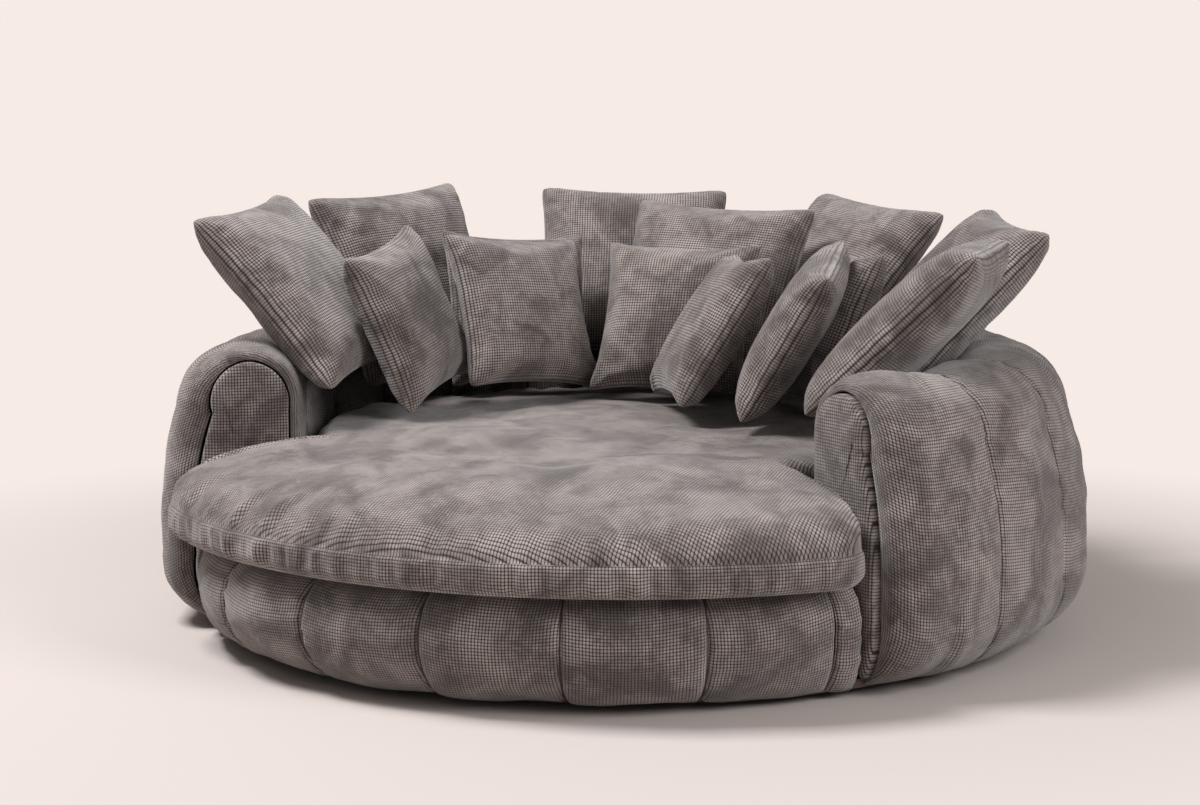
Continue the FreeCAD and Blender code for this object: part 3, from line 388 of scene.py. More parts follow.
class Finish:
    """Base of all finishes: keeps one material for each finish and builds it on first use."""

    made: dict[str, bpy.types.Material] = {}

    def material(self) -> bpy.types.Material:
        """The material of this finish."""
        if self.label not in Finish.made:
            material = bpy.data.materials.new(self.label)
            tree = cleared(material)
            add(tree, "OutputMaterial", {"Surface": self.shade(tree)})
            Finish.made[self.label] = material
        return Finish.made[self.label]

    def shade(self, tree: Tree) -> Socket:
        """Shader of this finish."""
        raise NotImplementedError


@dataclass(frozen=True)
class WaffleCord(Finish):
    """Jumbo waffle cord: cut-pile polyester corduroy with grooves both ways.

    The short pile lies one way or the other in patches of a hand's width, which gives the
    velvety light and dark mottling; the grooves between the tufts are painted dark as painted shade.
    """

    label: str = "waffle_cord"
    pitch: float = 6.6 * MM
    depth: float = 1.3 * MM
    # Colour of the grooves: painted shade, darker than the pile because shade falls there.
    groove_shade: str = "#2F2927"
    pile_down: str = "#625855"
    pile_up: str = "#A69B97"
    patch: float = 135 * MM
    streak: float = 34 * MM
    streak_share: float = 0.3
    nap_range: tuple[float, float] = (0.33, 0.68)
    # Tuft heights over which the painted groove shade gives way to the pile colour.
    groove_shade_range: tuple[float, float] = (0.25, 0.85)
    tuft_powers: tuple[float, float] = (0.55, 0.45)
    wander: float = 1.6 * MM
    wander_scale: float = 14.0
    bump: float = 0.9
    roughness: float = 0.92
    specular: float = 0.2
    sheen: float = 0.35
    sheen_roughness: float = 0.45

    def tufts(self, tree: Tree) -> Socket:
        """Height of the tufts from 0 in a groove to 1: |sin| of each thread coordinate, multiplied."""
        thread = output(tree, "UVMap", {"uv_map": "thread"})
        waver = add(tree, "TexNoise", {"Scale": self.wander_scale, "Detail": 1.0, "Vector": thread})
        centred = output(tree, "VectorMath", {"operation": "SUBTRACT", 0: waver.outputs["Color"],
                                              1: (0.5, 0.5, 0.5)})
        shift = output(tree, "VectorMath", {"operation": "SCALE", 0: centred, "Scale": 2 * self.wander})
        bent = output(tree, "VectorMath", {"operation": "ADD", 0: thread, 1: shift})
        turns = output(tree, "VectorMath", {"operation": "SCALE", 0: bent, "Scale": math.pi / self.pitch})
        wave = output(tree, "VectorMath", {"operation": "SINE", 0: turns})
        flat = output(tree, "VectorMath", {"operation": "ABSOLUTE", 0: wave})
        parts = add(tree, "SeparateXYZ", {0: flat})
        wale, course = [output(tree, "Math", {"operation": "POWER", 0: parts.outputs[number], 1: power})
                        for number, power in enumerate(self.tuft_powers)]
        return output(tree, "Math", {"operation": "MULTIPLY", 0: wale, 1: course})

    def nap(self, tree: Tree) -> Socket:
        """Which way the pile lies, from 0 to 1: soft patches with finer brush marks over them."""
        place = object_place(tree)
        patches = output(tree, "TexNoise", {"Scale": 1 / self.patch, "Detail": 2.5, "Roughness": 0.55,
                                            "Distortion": 0.9, "Vector": place})
        marks = output(tree, "TexNoise", {"Scale": 1 / self.streak, "Detail": 2.0, "Roughness": 0.6,
                                          "Distortion": 1.6, "Vector": place})
        mixed = output(tree, "Mix", {"data_type": "FLOAT", "Factor": self.streak_share,
                                     2: patches, 3: marks})
        return stepped(tree, mixed, *self.nap_range)

    def shade(self, tree: Tree) -> Socket:
        """Pile colour by the nap, with painted shade in the grooves, a little sheen and a real bump."""
        height = self.tufts(tree)
        pile = ramp(tree, self.nap(tree), [(0.0, self.pile_down), (1.0, self.pile_up)])
        # Share of pile colour: 0 in the grooves, where the painted shade goes, 1 on the tufts.
        cover = stepped(tree, height, *self.groove_shade_range)
        mixed = add(tree, "Mix", {"data_type": "RGBA", 0: cover, 6: linear(self.groove_shade), 7: pile})
        bump = output(tree, "Bump", {"Strength": self.bump, "Distance": self.depth, "Height": height})
        return output(tree, "BsdfPrincipled", {
            "Roughness": self.roughness, "Specular IOR Level": self.specular, "Sheen Weight": self.sheen,
            "Sheen Roughness": self.sheen_roughness, "Base Color": mixed.outputs[2], "Normal": bump})


@dataclass(frozen=True)
class TwoTone(Finish):
    """Finish that varies between a light and a dark tone."""

    label: str
    light: str
    dark: str
    tone_range: tuple[float, float] = (0.3, 0.7)

    def tone(self, tree: Tree, factor: Socket) -> Socket:
        """Colour between the two tones."""
        low, high = self.tone_range
        return ramp(tree, factor, [(low, self.dark), (high, self.light)])


@dataclass(frozen=True)
class Timber(TwoTone):
    """Sawn wood or board: long grain streaks in two tones, matt."""

    grain: float = 4 * MM
    stretch: float = 0.08
    relief: float = 0.3 * MM
    roughness: float = 0.7

    def shade(self, tree: Tree) -> Socket:
        """Noise drawn out along the grain, as colour and as a faint bump."""
        drawn = output(tree, "Mapping", {"Scale": (1.0, 1.0, self.stretch), "Vector": object_place(tree)})
        streaks = output(tree, "TexNoise", {"Scale": 1 / self.grain, "Detail": 4.0, "Roughness": 0.65,
                                            "Vector": drawn})
        bump = output(tree, "Bump", {"Strength": 0.3, "Distance": self.relief, "Height": streaks})
        return output(tree, "BsdfPrincipled", {"Roughness": self.roughness, "Normal": bump,
                                               "Base Color": self.tone(tree, streaks)})


@dataclass(frozen=True)
class Fleece(TwoTone):
    """Foam, fibre wadding or woven band: an open matt surface with fine cells."""

    cell: float = 2.5 * MM
    cells_to_patch: float = 0.2
    relief: float = 0.4 * MM
    roughness: float = 0.95
    specular: float = 0.2

    def shade(self, tree: Tree) -> Socket:
        """Cells of a Voronoi pattern as bump, with a soft change of tone."""
        place = object_place(tree)
        cells = add(tree, "TexVoronoi", {"Scale": 1 / self.cell, "Vector": place}).outputs["Distance"]
        patches = output(tree, "TexNoise", {"Scale": self.cells_to_patch / self.cell, "Detail": 2.0,
                                            "Vector": place})
        bump = output(tree, "Bump", {"Strength": 0.5, "Distance": self.relief, "Height": cells})
        return output(tree, "BsdfPrincipled", {"Roughness": self.roughness, "Normal": bump,
                                               "Specular IOR Level": self.specular,
                                               "Base Color": self.tone(tree, patches)})


@dataclass(frozen=True)
class Hardware(TwoTone):
    """Moulded plastic or plated metal: even colour with a faint grain in its gloss."""

    metallic: float = 0.0
    roughness: float = 0.4
    grain: float = 0.8 * MM
    gloss_range: tuple[float, float] = (-0.08, 0.1)

    def shade(self, tree: Tree) -> Socket:
        """Fine noise in the colour and the roughness."""
        grit = output(tree, "TexNoise", {"Scale": 1 / self.grain, "Detail": 2.0,
                                         "Vector": object_place(tree)})
        low, high = (self.roughness + shift for shift in self.gloss_range)
        gloss = output(tree, "MapRange", {"To Min": low, "To Max": high, "Value": grit})
        return output(tree, "BsdfPrincipled", {"Metallic": self.metallic, "Roughness": gloss,
                                               "Base Color": self.tone(tree, grit)})


CORD = WaffleCord()
FRAME_FINISHES = {
    "plywood": Timber("film_faced_plywood", "#57443A", "#3F3029"),
    "softwood": Timber("planed_spruce", "#E3C998", "#C79C63", grain=6 * MM),
    "hardboard": Timber("hardboard", "#7A5638", "#5C3D26", grain=1.5 * MM),
    # Foam tones kept dark grey: painted shade where the foam shows through gaps between the covers.
    "foam": Fleece("shade_dark_polyurethane_foam", "#4B4543", "#393432"),
    "fibre_filling": Fleece("polyester_wadding", "#EFEDE8", "#DEDAD2", cell=4 * MM),
    "webbing": Fleece("elastic_webbing", "#2B2B2E", "#1C1C1F", cell=1.2 * MM),
    "dust_fabric": Fleece("spun_dust_cloth", "#242424", "#161616", cell=1.5 * MM),
    "zip_tape": Fleece("zip_tape", "#4A4240", "#38312F", cell=1 * MM),
    "zip_metal": Hardware("enamelled_zinc", "#57504D", "#443E3C", metallic=0.6, roughness=0.35),
    "black_plastic": Hardware("moulded_polypropylene", "#1B1B1B", "#131313"),
    "zinc_steel": Hardware("zinc_plated_steel", "#C9C9CC", "#A9A9AE", metallic=1.0, roughness=0.3),
}


class Side(Enum):
    """The two mirrored arms."""

    RIGHT = 1
    LEFT = -1


@dataclass
class Quilting:
    """How sewn panels look near their seams."""

    seam_depth: float = 12 * MM
    crease: float = 6.5 * MM
    crease_width: float = 6 * MM
    pucker: float = 1.8 * MM
    pucker_length: float = 30 * MM
    pucker_reach: float = 45 * MM
    wave: float = 2.6 * MM
    wave_length: float = 230 * MM
    dimple: float = 0.9 * MM
    dimple_length: float = 80 * MM

    def relief(self, points: np.ndarray, along: np.ndarray, away: np.ndarray, seed: int) -> np.ndarray:
        """Displacement along the normal: seam crease, puckers beside it and a soft unevenness.

        Args:
            points: Grid of surface points.
            along: Distance along the seam at each point.
            away: Distance from the nearest seam at each point.
            seed: Seed of the random draws.

        Returns:
            Displacements of the shape of along.
        """
        crease = -self.crease * np.exp(-(away / self.crease_width) ** 2)
        fold = ripple(along, self.pucker_length, seed) * np.exp(-away / self.pucker_reach)
        fold *= 1 - np.exp(-away / (2 * self.crease_width))
        soft = self.wave * lumps(points, self.wave_length, seed + 1)
        soft += self.dimple * lumps(points, self.dimple_length, seed + 2)
        return crease + self.pucker * fold + soft * (1 - np.exp(-away / (4 * self.crease_width)))


@dataclass
class Roll:
    """The rolled back and arms: its section and its sewn panels."""

    reach: float = 1050 * MM
    top: float = 631 * MM
    floor_gap: float = 18 * MM
    wall: float = 725 * MM
    toe_inset: float = 115 * MM
    bulge_height: float = 170 * MM
    shoulder_height: float = 495 * MM
    shoulder_inset: float = 42 * MM
    crown: float = 858 * MM
    crown_flat: float = 44 * MM
    wall_height: float = 500 * MM
    foot: float = 214 * MM
    heel_bow: Bow = (0.66, 0.29, 0, 0)
    side_bow: Bow = (0, 0.5, -6 * MM, 0)
    brow_bow: Bow = (0.63, 0.72, 22 * MM, 9 * MM)
    inner_brow_bow: Bow = (0.69, 0.33, 0, 9 * MM)
    crown_follow: float = 0.3
    height_follow: float = 0.4
    arm_around: float = 53.5
    panels: int = 15
    curl_length: float = 80 * MM
    face_inset: tuple[float, float, float] = (70 * MM, 28 * MM, 35 * MM)
    gauge: float = 6 * MM
    seed_step: int = 11
    columns: int = 29
    runs: tuple[int, ...] = (12, 22, 24, 5, 18, 20)
    quilting: Quilting = field(default_factory=Quilting)

    @property
    def step(self) -> float:
        """Angle of one panel in degrees."""
        return (360 - 2 * self.arm_around) / self.panels

    def section(self, outer: np.ndarray, top: np.ndarray, inner: np.ndarray,
                skin: Numbers = 0.0) -> np.ndarray:
        """Sections of the roll from its underside over the crown down to the deck.

        Arcs through toe, heel and bulge, over the side to the shoulder, over the brow to the
        crown, and from the crown over the inner brow to the inner wall, which is straight.

        Args:
            outer: How far the flank lies inside the full form, one value for each section.
            top: The same for the crown.
            inner: The same for the inner wall.
            skin: A further distance all along.

        Returns:
            Array of sections by points by (radius, height).
        """
        skin = skin + 0 * outer
        flank, level, wall = outer + skin, self.top - top - skin, self.wall + inner + skin
        pair = partial(pairs, outer)
        toe = pair(self.reach - self.toe_inset, self.floor_gap + skin)
        bulge = pair(self.reach - flank, self.bulge_height)
        shoulder = pair(self.reach - self.shoulder_inset - flank,
                        self.shoulder_height - self.height_follow * top)
        crown_out = pair(self.crown + self.crown_flat / 2 - self.crown_follow * outer, level)
        crown_in = pair(self.crown - self.crown_flat / 2 + self.crown_follow * inner, level)
        wall_top = pair(wall, self.wall_height - self.height_follow * top)
        counts = self.runs
        return joined([bowed_arc(toe, bulge, self.heel_bow, counts[0]),
                       bowed_arc(bulge, shoulder, self.side_bow, counts[1]),
                       bowed_arc(shoulder, crown_out, self.brow_bow, counts[2]),
                       straight(crown_out, crown_in, counts[3]),
                       bowed_arc(crown_in, wall_top, self.inner_brow_bow, counts[4]),
                       straight(wall_top, pair(wall, self.foot), counts[5])])

    def insets(self, index: int, share: np.ndarray) -> tuple[np.ndarray, np.ndarray, np.ndarray]:
        """Insets of flank, crown and inner wall at shares of a panel's width.

        A panel swells as a parabola between its seams; the first and the last one curl in
        towards the arm face as a quarter circle.

        Args:
            index: Number of the panel, from the right arm face.
            share: Places across the panel, from 0 to 1.

        Returns:
            Three arrays of the shape of share.
        """
        depth = self.quilting.seam_depth
        if index not in (0, self.panels - 1):
            swell = depth * (2 * share - 1) ** 2
            return swell, swell, swell
        from_face = share if index == 0 else 1 - share
        width = math.radians(self.step) * self.crown
        near = np.clip(1 - from_face * width / self.curl_length, 0, 1)
        left = 1 - np.sqrt(1 - near ** 2)
        rest = np.clip((from_face * width - self.curl_length) / (width - self.curl_length), 0, 1)
        swell = depth * rest ** 2
        return tuple(left * inset + swell for inset in self.face_inset)

    def cover(self, name: str, first: int, last: int) -> Piece:
        """One length of the wrap, with its panels from first up to last.

        Args:
            name: Name of the piece.
            first: Number of its first panel.
            last: Number after its last panel.

        Returns:
            The piece, riding on the frame and in place of its node.
        """
        share = eased(self.columns)
        around, insets = [], []
        for index in range(first, last):
            keep = share if index == first else share[1:]
            around.append(self.arm_around + (index + keep) * self.step)
            insets.append(np.stack(self.insets(index, keep)))
        angles = np.concatenate(around)
        profile = self.section(*np.concatenate(insets, axis=1)).transpose(1, 0, 2)
        radius = profile[..., 0]
        points = polar(angles[None, :], radius, profile[..., 1])
        length, run = run_length(profile, 0), run_length(points, 1)
        cells = self.columns - 1
        across = np.concatenate([corners(run[:, at:at + cells + 1] - run[:, [at + cells // 2]])
                                 for at in range(0, len(angles) - 1, cells)], axis=1)
        place = (angles - self.arm_around) / self.step
        seam = np.round(place).astype(int)
        away = np.abs(place - seam)[None, :] * math.radians(self.step) * radius
        normal = outward_normals(points)
        relief = np.zeros(radius.shape)
        for number in np.unique(seam):
            here = seam == number
            relief[:, here] = self.quilting.relief(points[:, here], length[:, here], away[:, here],
                                                   self.seed_step * number)
        points = points + normal * relief[..., None]
        inner = points - normal * self.gauge
        thread = np.stack([across, corners(length)], axis=-1)
        piece = Patch.shell(points, inner, thread).build(name + "_cover", CORD)
        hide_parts(name)
        return dress(piece, "root")


@dataclass
class FrontRoll:
    """The padded base under the seat cushion, in six sewn panels with narrow ends at the arms."""

    roll: Roll
    reach: float = 1040 * MM
    bulge_height: float = 135 * MM
    level: float = 245 * MM
    top_radius: float = 945 * MM
    tuck_radius: float = 880 * MM
    step: float = 16.0
    limit: float = 52.2
    draw: float = 66 * MM
    narrow_pinch: float = 0.25
    heel_bow: Bow = (0.64, 0.34, 0, 0)
    brow_bow: Bow = (0.28, 0.64, 4 * MM, 0)
    top_follow: float = 0.4
    level_follow: float = 0.1
    calm_drop: float = 4 * MM
    calm_fade: float = 20 * MM
    calm_rise: float = 0.6 * MM
    seed: int = 400
    columns: int = 33
    runs: tuple[int, ...] = (14, 26, 8)

    def drawn_in(self, around: np.ndarray) -> np.ndarray:
        """How far the front roll lies inside its full form, more and more towards the arms."""
        return self.draw * (np.clip(np.abs(around) - self.step, 0, None) / (self.limit - self.step)) ** 2

    def section(self, pinch: np.ndarray, skin: float = 0.0) -> np.ndarray:
        """Sections from the underside over the bulge to the tuck under the seat cushion.

        Args:
            pinch: How far the bulge is drawn in, one value for each section.
            skin: A further distance all along.

        Returns:
            Array of sections by points by (radius, height).
        """
        pair = partial(pairs, pinch)
        level = self.level - self.level_follow * pinch - skin
        toe = pair(self.roll.reach - self.roll.toe_inset, self.roll.floor_gap + skin)
        bulge = pair(self.reach - pinch - skin, self.bulge_height)
        top = pair(self.top_radius - self.top_follow * pinch, level)
        return joined([bowed_arc(toe, bulge, self.heel_bow, self.runs[0]),
                       bowed_arc(bulge, top, self.brow_bow, self.runs[1]),
                       straight(top, pair(self.tuck_radius, level), self.runs[2])])

    def panel(self, start: float, end: float, seed: int) -> Patch:
        """One sewn panel between two angles, closed with the inside of its cloth.

        Args:
            start: First seam, in degrees from the front.
            end: Last seam.
            seed: Seed of the random draws.

        Returns:
            The patch.
        """
        quilting = self.roll.quilting
        share = eased(self.columns)
        angles = start + share * (end - start)
        middle = 0.0 if end - start >= self.step else self.narrow_pinch
        pinch = quilting.seam_depth * (middle + (1 - middle) * (2 * share - 1) ** 2)
        pinch = pinch + self.drawn_in(angles)
        profile = self.section(pinch).transpose(1, 0, 2)
        radius, height = profile[..., 0], profile[..., 1]
        points = polar(angles[None, :], radius, height)
        length = run_length(profile, 0)
        away = np.minimum(share, 1 - share)[None, :] * math.radians(end - start) * radius
        normal = outward_normals(points)
        relief = quilting.relief(points, length, away, self.seed + seed)
        under = np.clip((self.level - self.calm_drop - height) / self.calm_fade, 0, 1)
        relief = np.minimum(relief, self.calm_rise) * (1 - under) + relief * under
        points = points + normal * relief[..., None]
        inner = points - normal * self.roll.gauge
        turn = corners(np.broadcast_to(angles, radius.shape)) - 0.5 * (start + end)
        thread = np.stack([np.radians(turn) * corners(radius), corners(length)], axis=-1)
        return Patch.shell(points, inner, thread)

    def build(self) -> list[Piece]:
        """All six panels, each riding on the frame and in place of its node."""
        pieces = []
        for index in range(6):
            start = (index - 3) * self.step
            patches = [self.panel(start, start + self.step, index)]
            if index == 0:
                patches.append(self.panel(-self.limit, start, 7))
            if index == 5:
                patches.append(self.panel(start + self.step, self.limit, 8))
            name = "base_panel_%d" % (index + 1)
            piece = Patch.together(patches).build(name + "_cover", CORD)
            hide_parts(name)
            pieces.append(dress(piece, "root"))
        return pieces


@dataclass
class ArmFront:
    """The padded tombstone panel that closes an arm."""

    roll: Roll
    side: Side
    back_around: float = 55.4
    seat_around: float = 53.3
    face_around: float = 52.55
    gap: float = 6.3 * MM
    base: float = 36.3 * MM
    rounding: tuple[float, ...] = (0, 1, 3, 6, 10, 15, 22, 30, 40)
    bend_power: float = 2.4
    swell: float = 0.25
    lump_length: float = 120 * MM
    lump_depth: float = 1 * MM
    seed: int = 71
    inner_rings: int = 14
    closing_points: int = 12

    def outline(self, extra: np.ndarray) -> np.ndarray:
        """Outlines in radius and height, one for each extra inset, closed along the base."""
        insets = [inset + 0 * extra for inset in self.roll.face_inset]
        path = self.roll.section(*insets, skin=self.gap + extra)
        path[..., 1] = np.maximum(path[..., 1], self.base + extra[:, None])
        closing = straight(path[:, -1], path[:, 0], self.closing_points)[:, 1:]
        return np.concatenate([path, closing], axis=1)

    def build(self) -> Piece:
        """Front as rings from its back edge over the rounded rim to the middle of the face.

        Returns:
            The piece, riding on the frame and in place of its node.
        """
        extra = np.array(self.rounding) * MM
        rings = self.outline(extra)
        bend = np.sqrt(np.clip(1 - (1 - extra / extra[-1]) ** self.bend_power, 0, 1))
        around = self.seat_around + (self.face_around - self.seat_around) * bend
        centre = rings[-1].mean(axis=0)
        shrink = np.linspace(1, 0, self.inner_rings + 1)[1:]
        inside = centre + (rings[-1] - centre) * shrink[:, None, None]
        swell = self.swell * (1 - shrink ** 2)
        flat = np.concatenate([rings, inside])
        angles = np.concatenate([around, self.face_around - swell])
        back = np.concatenate([rings[:1], centre + (rings[0] - centre) * shrink[:, None, None]])
        back_angles = np.full(len(back), self.back_around)
        plan = np.concatenate([back[::-1], flat])
        turn = np.concatenate([back_angles, angles])
        points = polar(turn[:, None], plan[..., 0], plan[..., 1])
        across = polar(self.face_around - 90, 1.0)
        face = len(back)
        seed = self.seed + self.side.value
        soft = self.roll.quilting.dimple * lumps(points[face:], self.lump_length, seed)
        fade = np.concatenate([bend, np.ones(len(inside))])[:, None]
        points[face:] += across * np.maximum(soft * fade, -self.lump_depth)[..., None]
        thread = threaded(plan[..., 0], plan[..., 1])
        points[..., 0] *= self.side.value
        name = self.side.name.lower() + "_arm_front"
        piece = Patch.grid(points, thread).build(name + "_cover", CORD)
        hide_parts(name)
        return dress(piece, "root")


@dataclass
class SeatCushion:
    """The T-shaped seat cushion with its puckered boxing and its crowned top."""

    rim: float = 1050 * MM
    tip: float = 110 * MM
    notch: float = 30 * MM
    narrow: float = 715 * MM
    ear_around: float = 51.9
    bottom: float = 245.3 * MM
    boxing: float = 67 * MM
    crown: float = 230 * MM
    dome_shares: tuple[float, ...] = (0, 0.38, 0.695, 0.82)
    brow_insets: tuple[float, ...] = (90 * MM, 28 * MM, 0)
    dome_falls: tuple[float, ...] = (0, 0.074, 0.26, 0.393, 0.565, 0.767, 1)
    edge_reach: float = 60 * MM
    edge_rise: float = 0.62
    edge_blend: float = 14 * MM
    lower_edge: float = 22 * MM
    lower_inset: float = 12 * MM
    middle: float = -150 * MM
    ear_lift: float = 11 * MM
    ear_reach: float = 80 * MM
    ear_side: float = 450 * MM
    ear_front: float = 200 * MM
    ear_fade: float = 300 * MM
    belly: float = 3 * MM
    zip_depth: float = 0.4 * MM
    zip_start: float = 250 * MM
    zip_fade: float = 150 * MM
    run_points: tuple[int, ...] = (150, 34, 30, 12, 135)
    top_rings: int = 74
    side_rings: int = 13
    bottom_rings: int = 12
    arc_points: int = 60
    near_rings: tuple[float, ...] = (1.5, 4, 8, 14)
    ring_power: float = 1.25
    ring_limits: tuple[float, float] = (0.965, 0.975)
    seam_crease: float = 5 * MM
    seam_width: float = 5 * MM
    fold: float = 4.8 * MM
    fold_length: float = 62 * MM
    fold_reach: float = 90 * MM
    gather: float = 2.6 * MM
    gather_length: float = 24 * MM
    gather_share: float = 0.4
    slant: float = 20 * MM
    boxing_shares: tuple[float, float] = (0.8, 0.6)
    boxing_power: float = 0.7
    seam_rise: float = 12 * MM
    settle_reach: float = 90 * MM
    waves: int = 26
    lump: float = 4.5 * MM
    lump_length: float = 330 * MM
    lump_sink: float = 0.6
    dent: float = 1.8 * MM
    dent_length: float = 120 * MM
    dent_sink: float = 0.4
    seeds: tuple[int, ...] = (5, 6, 21, 22)

    def outline(self, inset: np.ndarray) -> np.ndarray:
        """Plan outlines, one for each inset: front arc, ear tip, ear side, notch, narrow arc, mirrored.

        Args:
            inset: How far each outline is drawn in.

        Returns:
            Closed outlines as insets by points by 2, without a repeated last point.
        """
        none = 0 * inset

        def at(around: float, radius: Numbers) -> np.ndarray:
            return polar(around, radius + none)[..., :2]

        ear, tip, notch = self.ear_around, self.tip, self.notch
        tip_turn = math.degrees(math.asin(tip / (self.rim - tip)))
        notch_turn = math.degrees(math.asin(notch / (self.narrow + notch)))
        inward = polar(ear - 90, 1.0)[:2] * inset[:, None]
        tip_centre = at(ear - tip_turn, self.rim - tip)
        notch_centre = at(ear + notch_turn, self.narrow + notch)
        rim_end = at(ear - tip_turn, self.rim - inset)
        side_out = at(ear, (self.rim - tip) * math.cos(math.radians(tip_turn))) + inward
        side_in = at(ear, (self.narrow + notch) * math.cos(math.radians(notch_turn))) + inward
        narrow_end = at(ear + notch_turn, self.narrow - inset)
        tip_middle = tip_centre + at(0.5 * (2 * ear - tip_turn + 90), tip - inset)
        toward = 0.5 * (side_in + narrow_end) - notch_centre
        toward /= np.linalg.norm(toward, axis=1, keepdims=True)
        notch_middle = notch_centre + toward * (notch + inset)[:, None]
        counts = self.run_points
        half = joined([
            arc_through(at(0, self.rim - inset), at(0.5 * (ear - tip_turn), self.rim - inset),
                        rim_end, counts[0]),
            arc_through(rim_end, tip_middle, side_out, counts[1]), straight(side_out, side_in, counts[2]),
            arc_through(side_in, notch_middle, narrow_end, counts[3]),
            arc_through(narrow_end, at(0.5 * (ear + notch_turn + 180), self.narrow - inset),
                        at(180, self.narrow - inset), counts[4])])
        mirror = half[:, -2:0:-1] * np.array([-1, 1])
        return np.concatenate([half, mirror], axis=1)

    def dome(self, radius: np.ndarray) -> np.ndarray:
        """Height of the crowned top: three arcs from the middle over the shoulder to the rim."""
        radii = [share * self.rim for share in self.dome_shares]
        radii += [self.rim - inset for inset in self.brow_insets]
        rise = self.crown - self.boxing
        turns = np.stack([radii, self.bottom + self.crown - rise * np.array(self.dome_falls)], axis=1)
        path = joined([arc_through(*turns[at:at + 3, None], self.arc_points) for at in (0, 2, 4)])[0]
        return np.interp(radius, path[:, 0], path[:, 1])

    def build(self) -> Piece:
        """Cushion as rings: underside, soft lower edge, boxing, seam, then the top to its middle.

        Returns:
            The piece, riding on the seat cushion and in place of its solids.
        """
        seam = self.bottom + self.boxing
        side = np.linspace(0, 1, self.side_rings)
        side_height = self.bottom + self.boxing * side
        side_inset = self.lower_inset * np.clip(1 - side * self.boxing / self.lower_edge, 0, 1) ** 2
        belly = self.belly * np.sin(np.pi * side)
        walls = self.outline(side_inset - belly)
        rim = self.outline(np.zeros(1))[0]
        centre = np.array([0.0, self.middle])
        under_share = np.linspace(0, 1, self.bottom_rings + 1)[:-1]
        under = centre + (walls[0] - centre) * under_share[:, None, None]
        near = self.outline(np.array(self.near_rings) * MM)
        share = 1 - np.linspace(0, 1, self.top_rings + 1)[1:] ** self.ring_power
        last, scale = self.ring_limits
        inner = centre + (near[-1] - centre) * (share[share < last] / scale)[:, None, None]
        top = np.concatenate([near, inner])
        distance = np.linalg.norm(rim - centre, axis=1)[None, :]
        drawn = distance - np.linalg.norm(top - centre, axis=-1)
        steep = np.clip(drawn / self.edge_reach, 0, 1)
        edge = seam + self.edge_rise * self.crown * np.sqrt(1 - (1 - steep) ** 2)
        dome = self.dome(np.linalg.norm(top, axis=-1))
        soft = self.edge_blend
        height = -soft * np.log(np.exp(-edge / soft) + np.exp(-dome / soft))
        height = np.minimum(height, np.minimum(edge, dome))
        ear = np.clip((np.abs(top[..., 0]) - self.ear_side) / self.ear_fade, 0, 1)
        ear *= np.clip((-top[..., 1] - self.ear_front) / self.ear_fade, 0, 1)
        height = height + self.ear_lift * ear * np.clip(drawn / self.ear_reach, 0, 1)
        plan = np.concatenate([under, walls, top])
        level = np.concatenate([np.full(under.shape[:2], self.bottom),
                                np.broadcast_to(side_height[:, None], walls.shape[:2]), height])
        points = np.concatenate([plan, level[..., None]], axis=-1)
        around = run_length(rim, 0)
        points = self.ruffle(points, around, drawn, side)
        points = np.concatenate([points, points[:, :1]], axis=1)
        plan = np.concatenate([plan, plan[:, :1]], axis=1)
        around = np.append(around, around[-1] + np.linalg.norm(rim[-1] - rim[0]))
        flat = threaded(plan[..., 0], plan[..., 1])
        run = np.broadcast_to(around, plan.shape[:2])
        tall = np.concatenate([np.full(len(under), self.bottom), side_height, np.full(len(top), seam)])
        boxed = threaded(run, np.broadcast_to(tall[:, None], plan.shape[:2]))
        start, end = len(under), len(under) + len(walls) - 1
        thread = flat.copy()
        thread[start:end] = boxed[start:end]
        piece = Patch.grid(points, thread).build("seat_cushion_upholstery", CORD)
        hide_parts("seat_cushion_cover", "seat_cushion_core")
        return dress(piece, "seat_cushion")

    def ruffle(self, points: np.ndarray, around: np.ndarray, drawn: np.ndarray,
               side: np.ndarray) -> np.ndarray:
        """Folds of the boxing, the seam's crease, gathers on the top beside it and soft lumps.

        The boxing is flat at the back, behind the zip.

        Args:
            points: Rings by points by 3.
            around: Distance along the rim at each column.
            drawn: Distance of each point of the top from the rim.
            side: Share of the boxing's height at each of its rings.

        Returns:
            The moved points.
        """
        normal = grid_normals(points, closed=True)
        start = self.bottom_rings
        face = start + self.side_rings
        outward = np.where((points[face - 4] * normal[face - 4])[:, :2].sum(-1).mean() < 0, -1, 1)
        normal = normal * outward
        width = around[-1]
        ring = 2 * np.pi * around / width
        circle = np.stack([np.cos(ring), np.sin(ring), 0 * ring], axis=-1) * width / (2 * np.pi)
        fold_seed, gather_seed, lump_seed, dent_seed = self.seeds
        long_fold = lumps(circle, self.fold_length, fold_seed, self.waves)
        short_fold = lumps(circle, self.gather_length, gather_seed, self.waves)
        slanted = lumps(circle + np.array([0, 0, self.slant]), self.fold_length, fold_seed, self.waves)
        up = side[:, None]
        swell = np.sin(np.pi * up) ** self.boxing_power
        folds, gathers = self.boxing_shares[0] * self.fold, self.boxing_shares[1] * self.gather
        boxing = folds * swell * (long_fold * (1 - up) + slanted * up) + gathers * swell * short_fold
        boxing -= self.seam_crease * np.exp(-((1 - up) * self.boxing / self.seam_width) ** 2)
        boxing[0] = np.minimum(boxing[0], 0)
        back = np.clip((points[start:face, :, 1] + self.zip_start) / self.zip_fade, 0, 1)
        flat = -self.belly * np.sin(np.pi * up) - self.zip_depth
        rise = 1 - np.exp(-drawn / self.seam_rise)
        top = -self.seam_crease * np.exp(-(drawn / self.seam_width) ** 2)
        top += self.fold * long_fold * rise * np.exp(-drawn / self.fold_reach)
